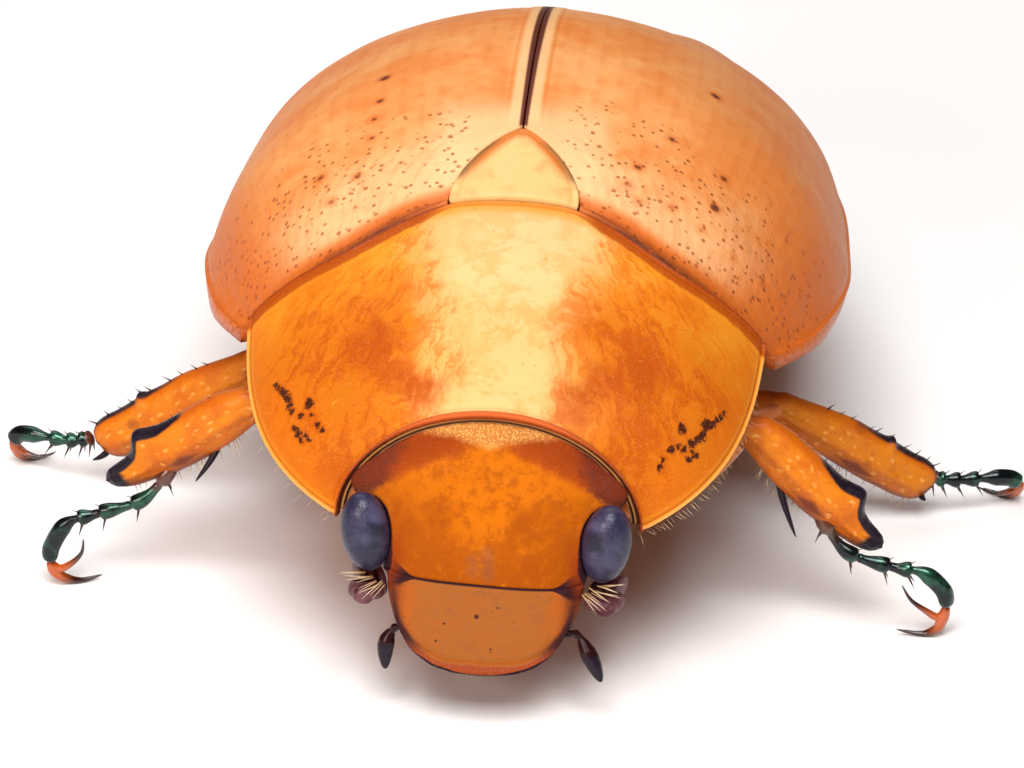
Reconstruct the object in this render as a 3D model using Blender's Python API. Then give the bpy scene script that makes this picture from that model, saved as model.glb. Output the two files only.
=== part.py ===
"""Washerwoman christmas beetle, a life-size still model on its six feet.

Every size is in millimetres until a finished mesh is brought to metres.
The head looks towards -Y, +Z is up and the ground is z = 0.
The beetle's own left side lies at +X, and X = 0 is the plane between the wing cases.
"""
import math
from collections import namedtuple

import bmesh
import bpy
from mathutils import Matrix, Vector

MM = 0.001
GAP = 0.32
COLLECTION = "christmas_beetle"
NUDGE = 0.02

# Wing cases
WING_WALL = 0.68
WING_RIM = 0.26
WING_RIM_DEPTH = 0.34
WING_COLUMNS = 15
WING_ROWS = 18
WING_CROWN = ((0, -4.42, 8.66), (0, -2.3, 9.16), (0, 0.9, 9.5), (0, 4.0, 8.98),
              (0, 7.0, 7.5), (0, 9.1, 5.95), (0, 10.75, 4.4))
WING_MARGIN = ((5.5, -5.45, 5.75), (6.3, -3.7, 5.36), (6.78, -1.0, 5.0), (6.74, 1.8, 4.5),
               (6.4, 4.9, 4.3), (5.3, 8.0, 4.1), (3.6, 10.2, 3.9), (1.3, 11.3, 3.82))
BASE_SECTION = 1.6
SHOULDER_BUMP = (4.35, -3.9, 0.16, 0.9)
REAR_BUMP = (3.1, 8.2, 0.2, 1.0)

# Scutellum, the small shield between the wing cases
SHIELD_HALF_WIDTH = 1.34
SHIELD_BASE_Y = -4.4
SHIELD_TIP_Y = -2.32
SHIELD_THICK = 0.75
SHIELD_CROWN_Z = 8.72
SHIELD_RISE = 0.2
SHIELD_CURVE = 0.09
SHIELD_COLUMNS = 8
SHIELD_ROWS = 7

# Pronotum, the plate over the front of the body
PLATE_WALL = 0.66
PLATE_LIP = 0.32
PLATE_COLUMNS = 24
PLATE_ROWS = 12
PLATE_CROWN = ((0, -9.74, 6.22), (0, -8.6, 7.35), (0, -6.6, 8.35), (0, -4.74, 8.56))
PLATE_SIDE = ((3.06, -9.86, 3.87), (4.9, -9.4, 4.75), (5.2, -7.6, 5.3), (5.28, -5.84, 6.15))
FRONT_SECTION = 1.0
HIND_SECTION = 1.6
LOBE_START = 1.0
LOBE_END = 3.7
BEAD = 0.06
BEAD_FROM = 0.94

# Head: height, front, back and half width of each level section
HEAD_LEVELS = ((5.56, -9.80, -9.30, 0.55), (5.40, -9.97, -9.20, 1.25), (5.10, -10.12, -9.17, 1.78),
               (4.60, -10.34, -9.17, 2.18), (4.10, -10.56, -9.17, 2.32), (3.60, -10.77, -9.17, 2.28),
               (3.20, -10.94, -9.20, 2.12), (3.08, -10.86, -9.25, 2.02), (2.96, -11.01, -9.35, 2.0),
               (2.52, -11.16, -9.80, 1.92), (2.10, -11.30, -10.33, 1.74), (1.75, -11.40, -10.78, 1.42),
               (1.52, -11.47, -11.02, 1.05), (1.43, -11.50, -11.14, 0.72))
HEAD_SIDES = 26
HEAD_POWER = 3.0
CLYPEUS_FIRST = 8
RIM_RADIUS = 0.1
RIM_WIDTH = 0.98
RIM_SET_BACK = 0.2
RIM_STEPS = 14
EYE_CENTRE = (2.43, -10.40, 3.84)
EYE_RADII = (0.52, 0.48, 0.90)
EYE_TURN = 8.0

# Antennae, palps and mouthparts
ANTENNA_PATH = ((2.35, -10.62, 2.58), (2.72, -10.45, 2.5), (2.86, -10.1, 2.42), (2.78, -9.75, 2.36))
ANTENNA_RADII = (0.26, 0.3, 0.22, 0.2)
LEAVES = 3
LEAF_PLACE = (2.72, -9.62, 2.32)
LEAF_STEP = (-0.2, 0.02)
LEAF_RADII = (0.17, 0.62, 0.34)
LEAF_TURN = -20.0
PALPS = (("right_palp", (-2.02, -10.62, 1.92), (-1.98, -10.85, 0.95)),
         ("left_palp", (2.02, -10.62, 1.95), (2.46, -10.95, 1.02)))
PALP_RADII = (0.13, 0.15, 0.24, 0.25, 0.17, 0.06)
PALP_MIDDLE = 0.45
MOUTH_LEVELS = ((-9.22, 1.2, 2.75, 1.95), (-9.6, 1.5, 2.45, 1.6), (-10.1, 1.52, 2.02, 1.3),
                (-10.45, 1.36, 1.72, 1.2), (-10.75, 1.0, 1.5, 1.18))
MOUTH_SIDES = 16
MOUTH_POWER = 2.6
JAW_CENTRE = (0.8, -10.45, 1.28)
JAW_RADII = (0.42, 0.36, 0.2)

# Under side: position along Y, half width, height at the side, top and bottom
PROTHORAX_LEVELS = ((-8.84, 2.5, 4.5, 5.55, 3.1), (-8.3, 3.5, 4.75, 5.95, 2.75),
                    (-7.3, 4.0, 5.05, 6.6, 2.5), (-6.2, 4.15, 5.4, 7.05, 2.35),
                    (-5.0, 4.15, 5.75, 7.35, 2.15))
THORAX_LEVELS = ((-4.62, 4.1, 5.5, 7.3, 1.75), (-3.6, 4.95, 5.2, 7.7, 1.5),
                 (-1.8, 5.4, 4.95, 8.1, 1.3), (0.0, 5.45, 4.65, 8.35, 1.25),
                 (1.5, 5.4, 4.45, 8.3, 1.35))
ABDOMEN_START = 1.84
ABDOMEN_END = 10.35
ABDOMEN_LEVELS = ((1.84, 5.38, 4.4, 8.25, 1.65), (4.0, 5.1, 4.3, 7.85, 1.5),
                  (6.0, 4.65, 4.2, 6.95, 1.5), (8.0, 3.8, 4.05, 5.65, 1.6),
                  (9.4, 2.75, 3.9, 4.55, 1.8), (10.35, 1.85, 3.2, 3.55, 2.0))
ABDOMEN_RINGS = 5
RING_GROOVE = 0.1
GROOVE_SHARE = 0.14
BODY_SIDES = 24
KEEL = 1.5
PROTHORAX_STEPS = 7
THORAX_STEPS = 8
TAIL_CENTRE = (0, 10.66, 2.42)
TAIL_RADII = (2.75, 1.2, 1.08)
TAIL_FRONT_Y = 10.68
TAIL_POINT = 0.45

# Legs: radii along a joint are shares of its thickness where they are called shares
TOOTH_RADIUS = (0.2, 0.36)
TOOTH_LAST = 0.93
TOOTH_HEIGHT = 0.25
SPUR_RADIUS = 0.13
SPUR_HEIGHT = -0.6
SPIKE_BLUNT = 0.3
COXA_REACH = 0.6
COXA_THICK = (0.62, 0.5)
FEMUR_SHARES = (0.62, 1.0, 1.05, 0.9, 0.62)
FEMUR_SAG = 0.08
FEMUR_FLAT = 0.85
SHIN_STEPS = 8
SHIN_FLAT = 0.62
SHIN_ROOT = 0.72
SHIN_POWER = 2.4
FOOT_BEAD = 0.13
BEAD_RADII = ((0.0, 0.16), (0.85, 0.25))
LAST_RADII = ((0.0, 0.15), (0.25, 0.22), (0.5, 0.26), (0.8, 0.25), (1.0, 0.2))
SPINE_PLACE = 0.8
SPINE_DROP = 0.42
SPINE_LEAN = 0.16
SPINE_RADIUS = 0.09
CLAW_RADII = (0.2, 0.19, 0.16, 0.12, 0.05)
SMALL_CLAW_RADII = (0.16, 0.13, 0.1, 0.08, 0.05)

Leg = namedtuple("Leg", "name coxa coxa_out hip knee shin ankle width across teeth spurs "
                        "tarsus claw small_claw")

LEGS = (
    Leg("right_front", (-0.8, -6.8, 2.1), (-2.5, -6.6, 2.75), (-2.95, -6.6, 3.0), (-4.72, -6.45, 4.4),
        (-5.15, -6.5, 4.52), (-7.72, -6.15, 2.98), (0.40, 0.52, 0.46), (-0.5, 0.0, 0.86),
        ((0.84, (-7.82, -5.95, 3.72)), (1.0, (-8.32, -6.25, 2.62))),
        ((0.35, (-6.35, -6.8, 2.72)),),
        ((-6.98, -6.42, 2.62), (-7.5, -6.46, 2.18), (-8.5, -6.45, 1.8), (-9.1, -6.42, 1.62),
         (-9.4, -6.36, 1.1), (-9.42, -6.28, 0.78)),
        ((-9.3, -6.22, 0.42), (-9.1, -6.15, 0.16), (-8.78, -6.05, 0.08), (-8.35, -5.9, 0.16)),
        ((-9.22, -6.25, 0.42), (-8.95, -6.4, 0.62), (-8.72, -6.46, 0.9), (-8.68, -6.48, 1.28))),
    Leg("left_front", (0.8, -6.8, 2.1), (2.5, -6.6, 2.75), (2.95, -6.6, 3.0), (4.72, -6.5, 4.45),
        (5.15, -6.6, 4.55), (7.28, -6.45, 2.76), (0.40, 0.52, 0.46), (0.62, 0.0, 0.78),
        ((0.82, (7.55, -6.2, 3.5)), (1.0, (8.0, -6.42, 2.2))),
        ((0.35, (6.1, -7.0, 2.4)),),
        ((6.62, -6.7, 2.4), (7.15, -6.75, 1.98), (8.17, -6.75, 1.72), (8.75, -6.74, 1.62),
         (9.15, -6.7, 1.2), (9.25, -6.62, 0.8)),
        ((9.16, -6.58, 0.44), (9.05, -6.56, 0.2), (8.75, -6.55, 0.08), (8.22, -6.6, 0.18)),
        ((9.08, -6.6, 0.46), (8.8, -6.7, 0.7), (8.5, -6.74, 0.95), (8.3, -6.76, 1.3))),
    Leg("right_mid", (-0.9, -1.9, 1.5), (-2.65, -2.1, 2.15), (-3.05, -2.15, 2.35), (-5.25, -2.65, 3.42),
        (-5.68, -2.62, 3.4), (-8.95, -2.02, 1.34), (0.32, 0.42, 0.48), (-0.53, 0.0, 0.85),
        ((0.6, (-7.6, -2.25, 2.95)), (0.99, (-9.1, -1.95, 1.85))),
        ((0.97, (-9.05, -2.35, 0.85)),),
        ((-9.28, -1.9, 1.1), (-9.7, -1.75, 0.98), (-10.3, -1.55, 0.95), (-10.72, -1.38, 0.88),
         (-10.92, -1.28, 0.66)),
        ((-10.88, -1.12, 0.4), (-10.78, -1.0, 0.16), (-10.5, -0.9, 0.08), (-10.1, -0.82, 0.16)),
        ((-10.84, -1.1, 0.42), (-10.62, -1.25, 0.34), (-10.3, -1.3, 0.3), (-9.98, -1.28, 0.44))),
    Leg("left_mid", (0.9, -1.9, 1.5), (2.65, -2.1, 2.15), (3.05, -2.15, 2.3), (5.25, -2.4, 3.02),
        (5.68, -2.32, 2.88), (8.6, -1.42, 1.1), (0.32, 0.42, 0.48), (0.5, 0.0, 0.86),
        ((0.6, (7.55, -1.6, 2.52)), (0.99, (8.8, -1.35, 1.6))),
        ((0.97, (8.65, -1.75, 0.62)),),
        ((8.92, -1.32, 0.92), (9.4, -1.15, 0.84), (10.0, -0.95, 0.82), (10.4, -0.8, 0.76),
         (10.6, -0.7, 0.6)),
        ((10.6, -0.5, 0.38), (10.5, -0.36, 0.16), (10.24, -0.25, 0.08), (9.85, -0.15, 0.16)),
        ((10.55, -0.5, 0.38), (10.35, -0.62, 0.32), (10.05, -0.66, 0.3), (9.72, -0.62, 0.42))),
    Leg("right_hind", (-0.6, 1.2, 1.5), (-2.95, 1.7, 1.85), (-3.3, 1.95, 2.0), (-5.0, 4.1, 2.85),
        (-5.2, 4.55, 2.85), (-5.65, 8.2, 1.5), (0.40, 0.52, 0.62), (-0.9, 0.0, 0.42),
        ((0.6, (-6.0, 6.8, 2.4)), (0.99, (-6.05, 8.4, 1.75))),
        ((0.97, (-5.35, 8.75, 0.95)),),
        ((-5.68, 8.52, 1.24), (-5.7, 9.2, 1.05), (-5.6, 10.1, 0.9), (-5.45, 10.75, 0.8),
         (-5.35, 11.05, 0.6)),
        ((-5.2, 11.3, 0.4), (-5.05, 11.38, 0.16), (-4.85, 11.25, 0.08), (-4.72, 10.9, 0.16)),
        ((-5.25, 11.28, 0.4), (-5.35, 11.5, 0.32), (-5.5, 11.6, 0.3), (-5.7, 11.5, 0.36))),
    Leg("left_hind", (0.6, 1.2, 1.5), (2.95, 1.7, 1.85), (3.3, 1.95, 2.0), (5.0, 4.1, 2.85),
        (5.2, 4.55, 2.85), (5.6, 8.2, 1.5), (0.40, 0.52, 0.62), (0.9, 0.0, 0.42),
        ((0.6, (5.95, 6.8, 2.4)), (0.99, (6.0, 8.4, 1.75))),
        ((0.97, (5.3, 8.75, 0.95)),),
        ((5.63, 8.52, 1.24), (5.65, 9.2, 1.05), (5.55, 10.1, 0.9), (5.4, 10.75, 0.8),
         (5.3, 11.05, 0.6)),
        ((5.15, 11.3, 0.4), (5.0, 11.38, 0.16), (4.8, 11.25, 0.08), (4.67, 10.9, 0.16)),
        ((5.2, 11.28, 0.4), (5.3, 11.5, 0.32), (5.45, 11.6, 0.3), (5.65, 11.5, 0.36))),
)

# Edges that bend by more degrees than this stay sharp
SHARP_ANGLE = 38.0

# Finishes: colour, roughness, metallic
AMBER = ((0.80, 0.36, 0.07, 1.0), 0.32, 0.0)
TAN = ((0.82, 0.46, 0.20, 1.0), 0.35, 0.0)
CREAM = ((0.88, 0.62, 0.25, 1.0), 0.35, 0.0)
SLATE = ((0.06, 0.07, 0.12, 1.0), 0.40, 0.0)
LEG_ORANGE = ((0.80, 0.30, 0.05, 1.0), 0.32, 0.0)
BROWN = ((0.22, 0.07, 0.03, 1.0), 0.35, 0.0)
GREEN_BLACK = ((0.02, 0.06, 0.045, 1.0), 0.25, 0.6)
CLAW_RED = ((0.40, 0.11, 0.03, 1.0), 0.25, 0.0)
UNDER_ORANGE = ((0.45, 0.19, 0.07, 1.0), 0.45, 0.0)


def mix(a, b, t):
    """Value between a and b."""
    return a + (b - a) * t


def smooth_step(low, high, value):
    """0 below low, 1 above high, with a soft ramp between."""
    t = min(max((value - low) / (high - low), 0.0), 1.0)
    return t * t * (3.0 - 2.0 * t)


def bezier(points, t):
    """Point of a Bezier curve of any degree."""
    points = [Vector(p) for p in points]
    while len(points) > 1:
        points = [a.lerp(b, t) for a, b in zip(points, points[1:])]
    return points[0]


def spline(points, t):
    """Point of a smooth curve through every given point, t from 0 to 1."""
    points = [Vector(p) for p in points]
    spans = len(points) - 1
    index = min(int(t * spans), spans - 1)
    local = t * spans - index
    before = points[max(index - 1, 0)]
    start, end = points[index], points[index + 1]
    after = points[min(index + 2, spans)]
    leave = (end - before) * 0.5
    arrive = (after - start) * 0.5
    square, cube = local * local, local ** 3
    return (start * (2 * cube - 3 * square + 1) + leave * (cube - 2 * square + local)
            + end * (3 * square - 2 * cube) + arrive * (cube - square))


def heading(points, t):
    """Direction of a smooth curve at t."""
    return (spline(points, min(t + NUDGE, 1.0)) - spline(points, max(t - NUDGE, 0.0))).normalized()


def level(rows, key):
    """Row of sizes at a position, smoothly blended between the given rows."""
    if key <= min(rows[0][0], rows[-1][0]) or key >= max(rows[0][0], rows[-1][0]):
        return min(rows, key=lambda row: abs(row[0] - key))
    for low, high in zip(rows, rows[1:]):
        if min(low[0], high[0]) <= key <= max(low[0], high[0]):
            t = (key - low[0]) / (high[0] - low[0])
            return tuple(mix(a, b, t) for a, b in zip(low, high))
    return rows[-1]


def add_object(name, bm):
    """New object from a bmesh, with its faces turned outwards."""
    bmesh.ops.recalc_face_normals(bm, faces=bm.faces)
    mesh = bpy.data.meshes.new(name)
    bm.to_mesh(mesh)
    bm.free()
    obj = bpy.data.objects.new(name, mesh)
    bpy.data.collections[COLLECTION].objects.link(obj)
    return obj


def wall_from_grid(name, columns, rows, outer, inner):
    """Closed curved wall between two surfaces, each a function of u and v from 0 to 1."""
    bm = bmesh.new()
    bmesh.ops.create_grid(bm, x_segments=columns, y_segments=rows, size=0.5)
    first = list(bm.verts)
    bmesh.ops.extrude_face_region(bm, geom=bm.faces[:], use_keep_orig=True)
    second = [v for v in bm.verts if v not in set(first)]
    for verts, surface in ((first, outer), (second, inner)):
        for vert in verts:
            vert.co = surface(vert.co.x + 0.5, vert.co.y + 0.5)
    bmesh.ops.triangulate(bm, faces=bm.faces)
    return add_object(name, bm)


def loft(name, sections):
    """Closed solid through rings of points, one ring to a section."""
    bm = bmesh.new()
    rings = [[bm.verts.new(point) for point in section] for section in sections]
    count = len(rings[0])
    for low, high in zip(rings, rings[1:]):
        for i in range(count):
            j = (i + 1) % count
            bm.faces.new((low[i], low[j], high[j], high[i]))
    bm.faces.new(rings[0])
    bm.faces.new(rings[-1])
    bmesh.ops.triangulate(bm, faces=bm.faces)
    return add_object(name, bm)


def oval(centre, side, up, count, power=2.0):
    """Ring of points round a centre; side and up are its half axes, power squares it off."""
    ring = []
    for i in range(count):
        angle = 2 * math.pi * i / count
        c, s = math.cos(angle), math.sin(angle)
        x = math.copysign(abs(c) ** (2 / power), c)
        y = math.copysign(abs(s) ** (2 / power), s)
        ring.append(Vector(centre) + Vector(side) * x + Vector(up) * y)
    return ring


def ellipsoid(name, centre, radii, turn=None, segments=16, rings=8):
    """Closed ball stretched to its three radii, then turned and moved."""
    bm = bmesh.new()
    bmesh.ops.create_uvsphere(bm, u_segments=segments, v_segments=rings, radius=1.0)
    shape = Matrix.Translation(centre) @ (turn or Matrix()) @ Matrix.Diagonal((*radii, 1.0))
    bmesh.ops.transform(bm, matrix=shape, verts=bm.verts)
    bmesh.ops.triangulate(bm, faces=bm.faces)
    return add_object(name, bm)


def spike(name, root, tip, radius, segments=7, blunt=0.2):
    """Tapered tooth or spine from its sunk root to its tip."""
    root, tip = Vector(root), Vector(tip)
    bm = bmesh.new()
    place = Matrix.Translation((root + tip) / 2) @ (tip - root).to_track_quat("Z", "Y").to_matrix().to_4x4()
    bmesh.ops.create_cone(bm, cap_ends=True, segments=segments, radius1=radius,
                          radius2=radius * blunt, depth=(tip - root).length, matrix=place)
    bmesh.ops.triangulate(bm, faces=bm.faces)
    return add_object(name, bm)


def tube(name, points, radii, segments, steps, flatten=1.0, across=(0, 0, 1)):
    """Closed tube along a smooth path; radii are read evenly along it."""
    sections = []
    for step in range(steps + 1):
        t = step / steps
        centre = spline(points, t)
        ahead = heading(points, t)
        side = ahead.cross(Vector(across)).normalized()
        up = side.cross(ahead).normalized()
        place = t * (len(radii) - 1)
        index = min(int(place), len(radii) - 2)
        radius = mix(radii[index], radii[index + 1], place - index)
        sections.append(oval(centre, side * radius * flatten, up * radius, segments))
    return loft(name, sections)


def keep_largest(mesh):
    """Keep only the closed surface with the largest volume."""
    bm = bmesh.new()
    bm.from_mesh(mesh)
    bmesh.ops.remove_doubles(bm, verts=bm.verts, dist=0.0005)
    bmesh.ops.dissolve_degenerate(bm, edges=bm.edges, dist=0.0005)
    bmesh.ops.triangulate(bm, faces=bm.faces)
    left = set(bm.verts)
    bodies = []
    while left:
        stack = [left.pop()]
        body = set(stack)
        while stack:
            for edge in stack.pop().link_edges:
                for vert in edge.verts:
                    if vert in left:
                        left.discard(vert)
                        body.add(vert)
                        stack.append(vert)
        bodies.append(body)

    def volume(body):
        faces = {face for vert in body for face in vert.link_faces}
        return abs(sum(f.verts[0].co.dot(f.verts[1].co.cross(f.verts[2].co)) for f in faces))

    bodies.sort(key=volume, reverse=True)
    spare = [vert for body in bodies[1:] for vert in body]
    bmesh.ops.delete(bm, geom=spare, context="VERTS")
    bm.to_mesh(mesh)
    bm.free()


def combine(base, others, operation, solver="MANIFOLD"):
    """Join pieces to a base or cut them from it, and keep one closed body."""
    group = bpy.data.collections.new("cutters")
    bpy.context.scene.collection.children.link(group)
    for piece in others:
        bpy.data.collections[COLLECTION].objects.unlink(piece)
        group.objects.link(piece)
        piece.hide_render = True
        piece.display_type = "WIRE"
    change = base.modifiers.new("join", "BOOLEAN")
    change.operation = operation
    change.operand_type = "COLLECTION"
    change.collection = group
    change.solver = solver
    graph = bpy.context.evaluated_depsgraph_get()
    joined = bpy.data.meshes.new_from_object(base.evaluated_get(graph))
    base.modifiers.clear()
    old = base.data
    base.data = joined
    bpy.data.meshes.remove(old)
    joined.name = base.name
    for piece in others:
        bpy.data.objects.remove(piece)
    bpy.data.collections.remove(group)
    keep_largest(joined)
    return base


def fuse(base, others):
    """Join closed pieces to a base."""
    return combine(base, others, "UNION")


def swollen(obj, distance):
    """Copy of an object's mesh pushed out along its normals."""
    bm = bmesh.new()
    bm.from_mesh(obj.data)
    bm.normal_update()
    moves = [(vert, vert.normal.copy()) for vert in bm.verts]
    for vert, normal in moves:
        vert.co += normal * distance
    return add_object(obj.name + "_room", bm)


def make_room(target, neighbours):
    """Cut a target clear of its neighbours by the usual gap."""
    return combine(target, [swollen(n, GAP) for n in neighbours], "DIFFERENCE")


def shield_half_width(y):
    """Half width of the scutellum at a place along the body."""
    t = min(max((y - SHIELD_BASE_Y) / (SHIELD_TIP_Y - SHIELD_BASE_Y), 0.0), 1.0)
    return SHIELD_HALF_WIDTH * (1.0 - t ** 1.7) ** 0.8


def wing_inner_edge(y):
    """Distance from the middle plane to a wing case's inner edge."""
    return max(shield_half_width(y) + GAP if y < SHIELD_TIP_Y else 0.0, GAP / 2)


def wing_bump(x, y):
    """Height of the shoulder and rear swellings."""
    height = 0.0
    for bump_x, bump_y, rise, reach in (SHOULDER_BUMP, REAR_BUMP):
        height += rise * math.exp(-((x - bump_x) ** 2 + (y - bump_y) ** 2) / reach ** 2)
    return height


def wing_point(u, v, inset):
    """Point of a wing case: u from its inner edge to its rim, v from its base to its tip."""
    rim_share = 1.0 / WING_COLUMNS
    crown = spline(WING_CROWN, v)
    margin = spline(WING_MARGIN, v)
    outward = (margin - crown)
    outward.z = 0.0
    outward.normalize()
    foot = margin - outward * (WING_RIM + inset)
    edge = wing_inner_edge(crown.y)
    start = math.asin(min(edge / foot.x, 0.95))
    across = min(u / (1.0 - rim_share), 1.0)
    theta = mix(start, math.pi / 2, across)
    reach = math.sin(theta)
    x = foot.x * reach
    base = 1.0 - smooth_step(0.0, 0.22, v)
    along = mix(reach, smooth_step(LOBE_START, LOBE_END, x), base)
    y = mix(crown.y, foot.y, along)
    height = math.cos(theta) ** mix(1.0, BASE_SECTION, base) if across < 1.0 else 0.0
    foot_z = margin.z + 0.02 if inset == 0 else margin.z - WING_RIM_DEPTH
    z = foot_z + (crown.z - inset - foot_z) * height + wing_bump(x, y)
    if u > 1.0 - rim_share / 2:
        return Vector((margin.x, margin.y, margin.z if inset == 0 else margin.z - WING_RIM_DEPTH))
    return Vector((x, y, z))


def wing_case(name, side):
    """One wing case, side is 1 for the left and -1 for the right."""
    def outer(u, v):
        point = wing_point(u, v, 0.0)
        return Vector((point.x * side, point.y, point.z))

    def inner(u, v):
        point = wing_point(u, v, WING_WALL)
        return Vector((point.x * side, point.y, point.z))

    return wall_from_grid(name, WING_COLUMNS, WING_ROWS, outer, inner)


def plate_point(u, v, inset):
    """Point of the pronotum: u from side to side, v from the front edge to the hind edge."""
    side = bezier(PLATE_SIDE, v)
    crown = bezier(PLATE_CROWN, v)
    across = 2.0 * u - 1.0
    theta = across * math.pi / 2
    reach = math.sin(theta)
    x = (side.x - inset) * reach
    lobe = smooth_step(LOBE_START, LOBE_END, abs(x))
    y = mix(crown.y, side.y, mix(reach * reach, lobe, smooth_step(0.3, 1.0, v)))
    power = mix(FRONT_SECTION, HIND_SECTION, v)
    z = side.z + (crown.z - inset - side.z) * abs(math.cos(theta)) ** power
    if inset == 0 and abs(across) > BEAD_FROM:
        x += math.copysign(BEAD, across)
    return Vector((x, y, z))


def pronotum():
    """Plate over the front of the body, open below, thin at its front lip."""
    def inner(u, v):
        return plate_point(u, v, mix(PLATE_LIP, PLATE_WALL, smooth_step(0.0, 0.25, v)))

    return wall_from_grid("pronotum", PLATE_COLUMNS, PLATE_ROWS, lambda u, v: plate_point(u, v, 0.0), inner)


def scutellum():
    """Small rounded triangle between the bases of the wing cases."""
    def surface(drop):
        def point(u, v):
            y = mix(SHIELD_BASE_Y, SHIELD_TIP_Y - 0.02, v)
            half = max(shield_half_width(y), 0.06)
            x = half * (2.0 * u - 1.0)
            crown = SHIELD_CROWN_Z + SHIELD_RISE * (y - SHIELD_BASE_Y)
            return Vector((x, y, crown - SHIELD_CURVE * x * x - drop))
        return point

    return wall_from_grid("scutellum", SHIELD_COLUMNS, SHIELD_ROWS, surface(0.0), surface(SHIELD_THICK))


def head():
    """Forehead and clypeus in one, with the groove between them and the raised front rim."""
    sections = []
    for z, front, back, half in HEAD_LEVELS:
        centre = (0, (front + back) / 2, z)
        depth = (back - front) / 2
        sections.append(oval(centre, (half, 0, 0), (0, depth, 0), HEAD_SIDES, HEAD_POWER))
    body = loft("head", sections)
    edge = [(half, front, z) for z, front, back, half in HEAD_LEVELS[CLYPEUS_FIRST:]]
    edge.append((0.0, edge[-1][1], edge[-1][2]))
    rim = []
    for i in range(RIM_STEPS + 1):
        x = edge[0][0] * math.sin(math.pi * (i / RIM_STEPS - 0.5))
        half, front, z = level(edge, abs(x))
        rim.append((x * RIM_WIDTH, front + RIM_SET_BACK * abs(x) / edge[0][0], z))
    lip = tube("rim", rim, (RIM_RADIUS, RIM_RADIUS), 6, RIM_STEPS, across=(0, 1, 0))
    return fuse(body, [lip])


def eye(name, side):
    """Bulging eye at one side of the head."""
    x, y, z = EYE_CENTRE
    turn = Matrix.Rotation(math.radians(EYE_TURN) * side, 4, "Y")
    return ellipsoid(name, (x * side, y, z), EYE_RADII, turn, 18, 10)


def antenna(name, side):
    """Folded antenna: long first joint, short stalk and a club of three leaves."""
    stalk = tube(name, [(x * side, y, z) for x, y, z in ANTENNA_PATH], ANTENNA_RADII, 7, 5)
    turn = Matrix.Rotation(math.radians(LEAF_TURN) * side, 4, "Z")
    x, y, z = LEAF_PLACE
    leaves = []
    for i in range(LEAVES):
        place = ((x + LEAF_STEP[0] * i) * side, y + LEAF_STEP[1] * i, z)
        leaves.append(ellipsoid(f"leaf_{i}", place, LEAF_RADII, turn, 8, 6))
    return fuse(stalk, leaves)


def palp(name, root, tip):
    """Spindle-shaped feeler beside the mouth."""
    middle = Vector(root).lerp(Vector(tip), PALP_MIDDLE)
    return tube(name, (root, middle, tip), PALP_RADII, 8, 9)


def mouthparts():
    """Lower lip and jaws under the clypeus."""
    sections = []
    for y, half, top, bottom in MOUTH_LEVELS:
        centre = (0, y, (top + bottom) / 2)
        sections.append(oval(centre, (half, 0, 0), (0, 0, (top - bottom) / 2), MOUTH_SIDES, MOUTH_POWER))
    body = loft("mouthparts", sections)
    x, y, z = JAW_CENTRE
    jaws = [ellipsoid(f"jaw_{side}", (x * side, y, z), JAW_RADII, None, 8, 5) for side in (-1, 1)]
    return fuse(body, jaws)


def belly_ring(y, half, side_z, top, bottom, groove=0.0):
    """Ring across the body: a dome above the side line and a keeled belly below it."""
    ring = []
    for i in range(BODY_SIDES):
        angle = 2 * math.pi * i / BODY_SIDES
        c, s = math.cos(angle), math.sin(angle)
        if s >= 0:
            z = side_z + (top - side_z) * s
        else:
            z = side_z - (side_z - bottom - groove) * abs(s) ** KEEL
        ring.append(Vector((half * c, y, z)))
    return ring


def body_block(name, levels, steps):
    """Loft through the level sizes of one part of the body."""
    start, end = levels[0][0], levels[-1][0]
    return loft(name, [belly_ring(*level(levels, mix(start, end, i / steps))) for i in range(steps + 1)])


def abdomen():
    """Abdomen with a groove between its belly plates."""
    sections = []
    length = (ABDOMEN_END - ABDOMEN_START) / ABDOMEN_RINGS
    for ring in range(ABDOMEN_RINGS):
        for share, groove in ((0.0, RING_GROOVE), (GROOVE_SHARE, 0.0)):
            y = ABDOMEN_START + length * (ring + share)
            sections.append(belly_ring(*level(ABDOMEN_LEVELS, y), groove=groove))
    sections.append(belly_ring(*ABDOMEN_LEVELS[-1]))
    return loft("abdomen", sections)


def cut_flat(obj, point, normal):
    """Cut off what lies beyond a plane and close the solid with a flat face."""
    bm = bmesh.new()
    bm.from_mesh(obj.data)
    cut = bmesh.ops.bisect_plane(bm, geom=bm.verts[:] + bm.edges[:] + bm.faces[:], dist=0.0001,
                                 plane_co=point, plane_no=normal, clear_outer=True)
    edges = [e for e in cut["geom_cut"] if isinstance(e, bmesh.types.BMEdge)]
    bmesh.ops.holes_fill(bm, edges=edges)
    bmesh.ops.triangulate(bm, faces=bm.faces)
    bmesh.ops.recalc_face_normals(bm, faces=bm.faces)
    bm.to_mesh(obj.data)
    bm.free()
    return obj


def pygidium():
    """Last back plate, a shield below the tips of the wing cases that narrows downwards."""
    plate = ellipsoid("pygidium", TAIL_CENTRE, TAIL_RADII, None, 20, 10)
    low, high = TAIL_CENTRE[2] - TAIL_RADII[2], TAIL_CENTRE[2] + TAIL_RADII[2]
    for vert in plate.data.vertices:
        vert.co.x *= mix(TAIL_POINT, 1.0, smooth_step(low, high - TAIL_RADII[2] / 2, vert.co.z))
    return cut_flat(plate, (0, TAIL_FRONT_Y, 0), (0, -1, 0))


def coxa(leg):
    """Barrel that carries the leg, set in the under side."""
    start, end = Vector(leg.coxa), Vector(leg.coxa_out)
    turn = (end - start).to_track_quat("Z", "Y").to_matrix().to_4x4()
    reach = (end - start).length * COXA_REACH
    return ellipsoid(leg.name + "_coxa", (start + end) / 2, (*COXA_THICK, reach), turn, 10, 7)


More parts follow.
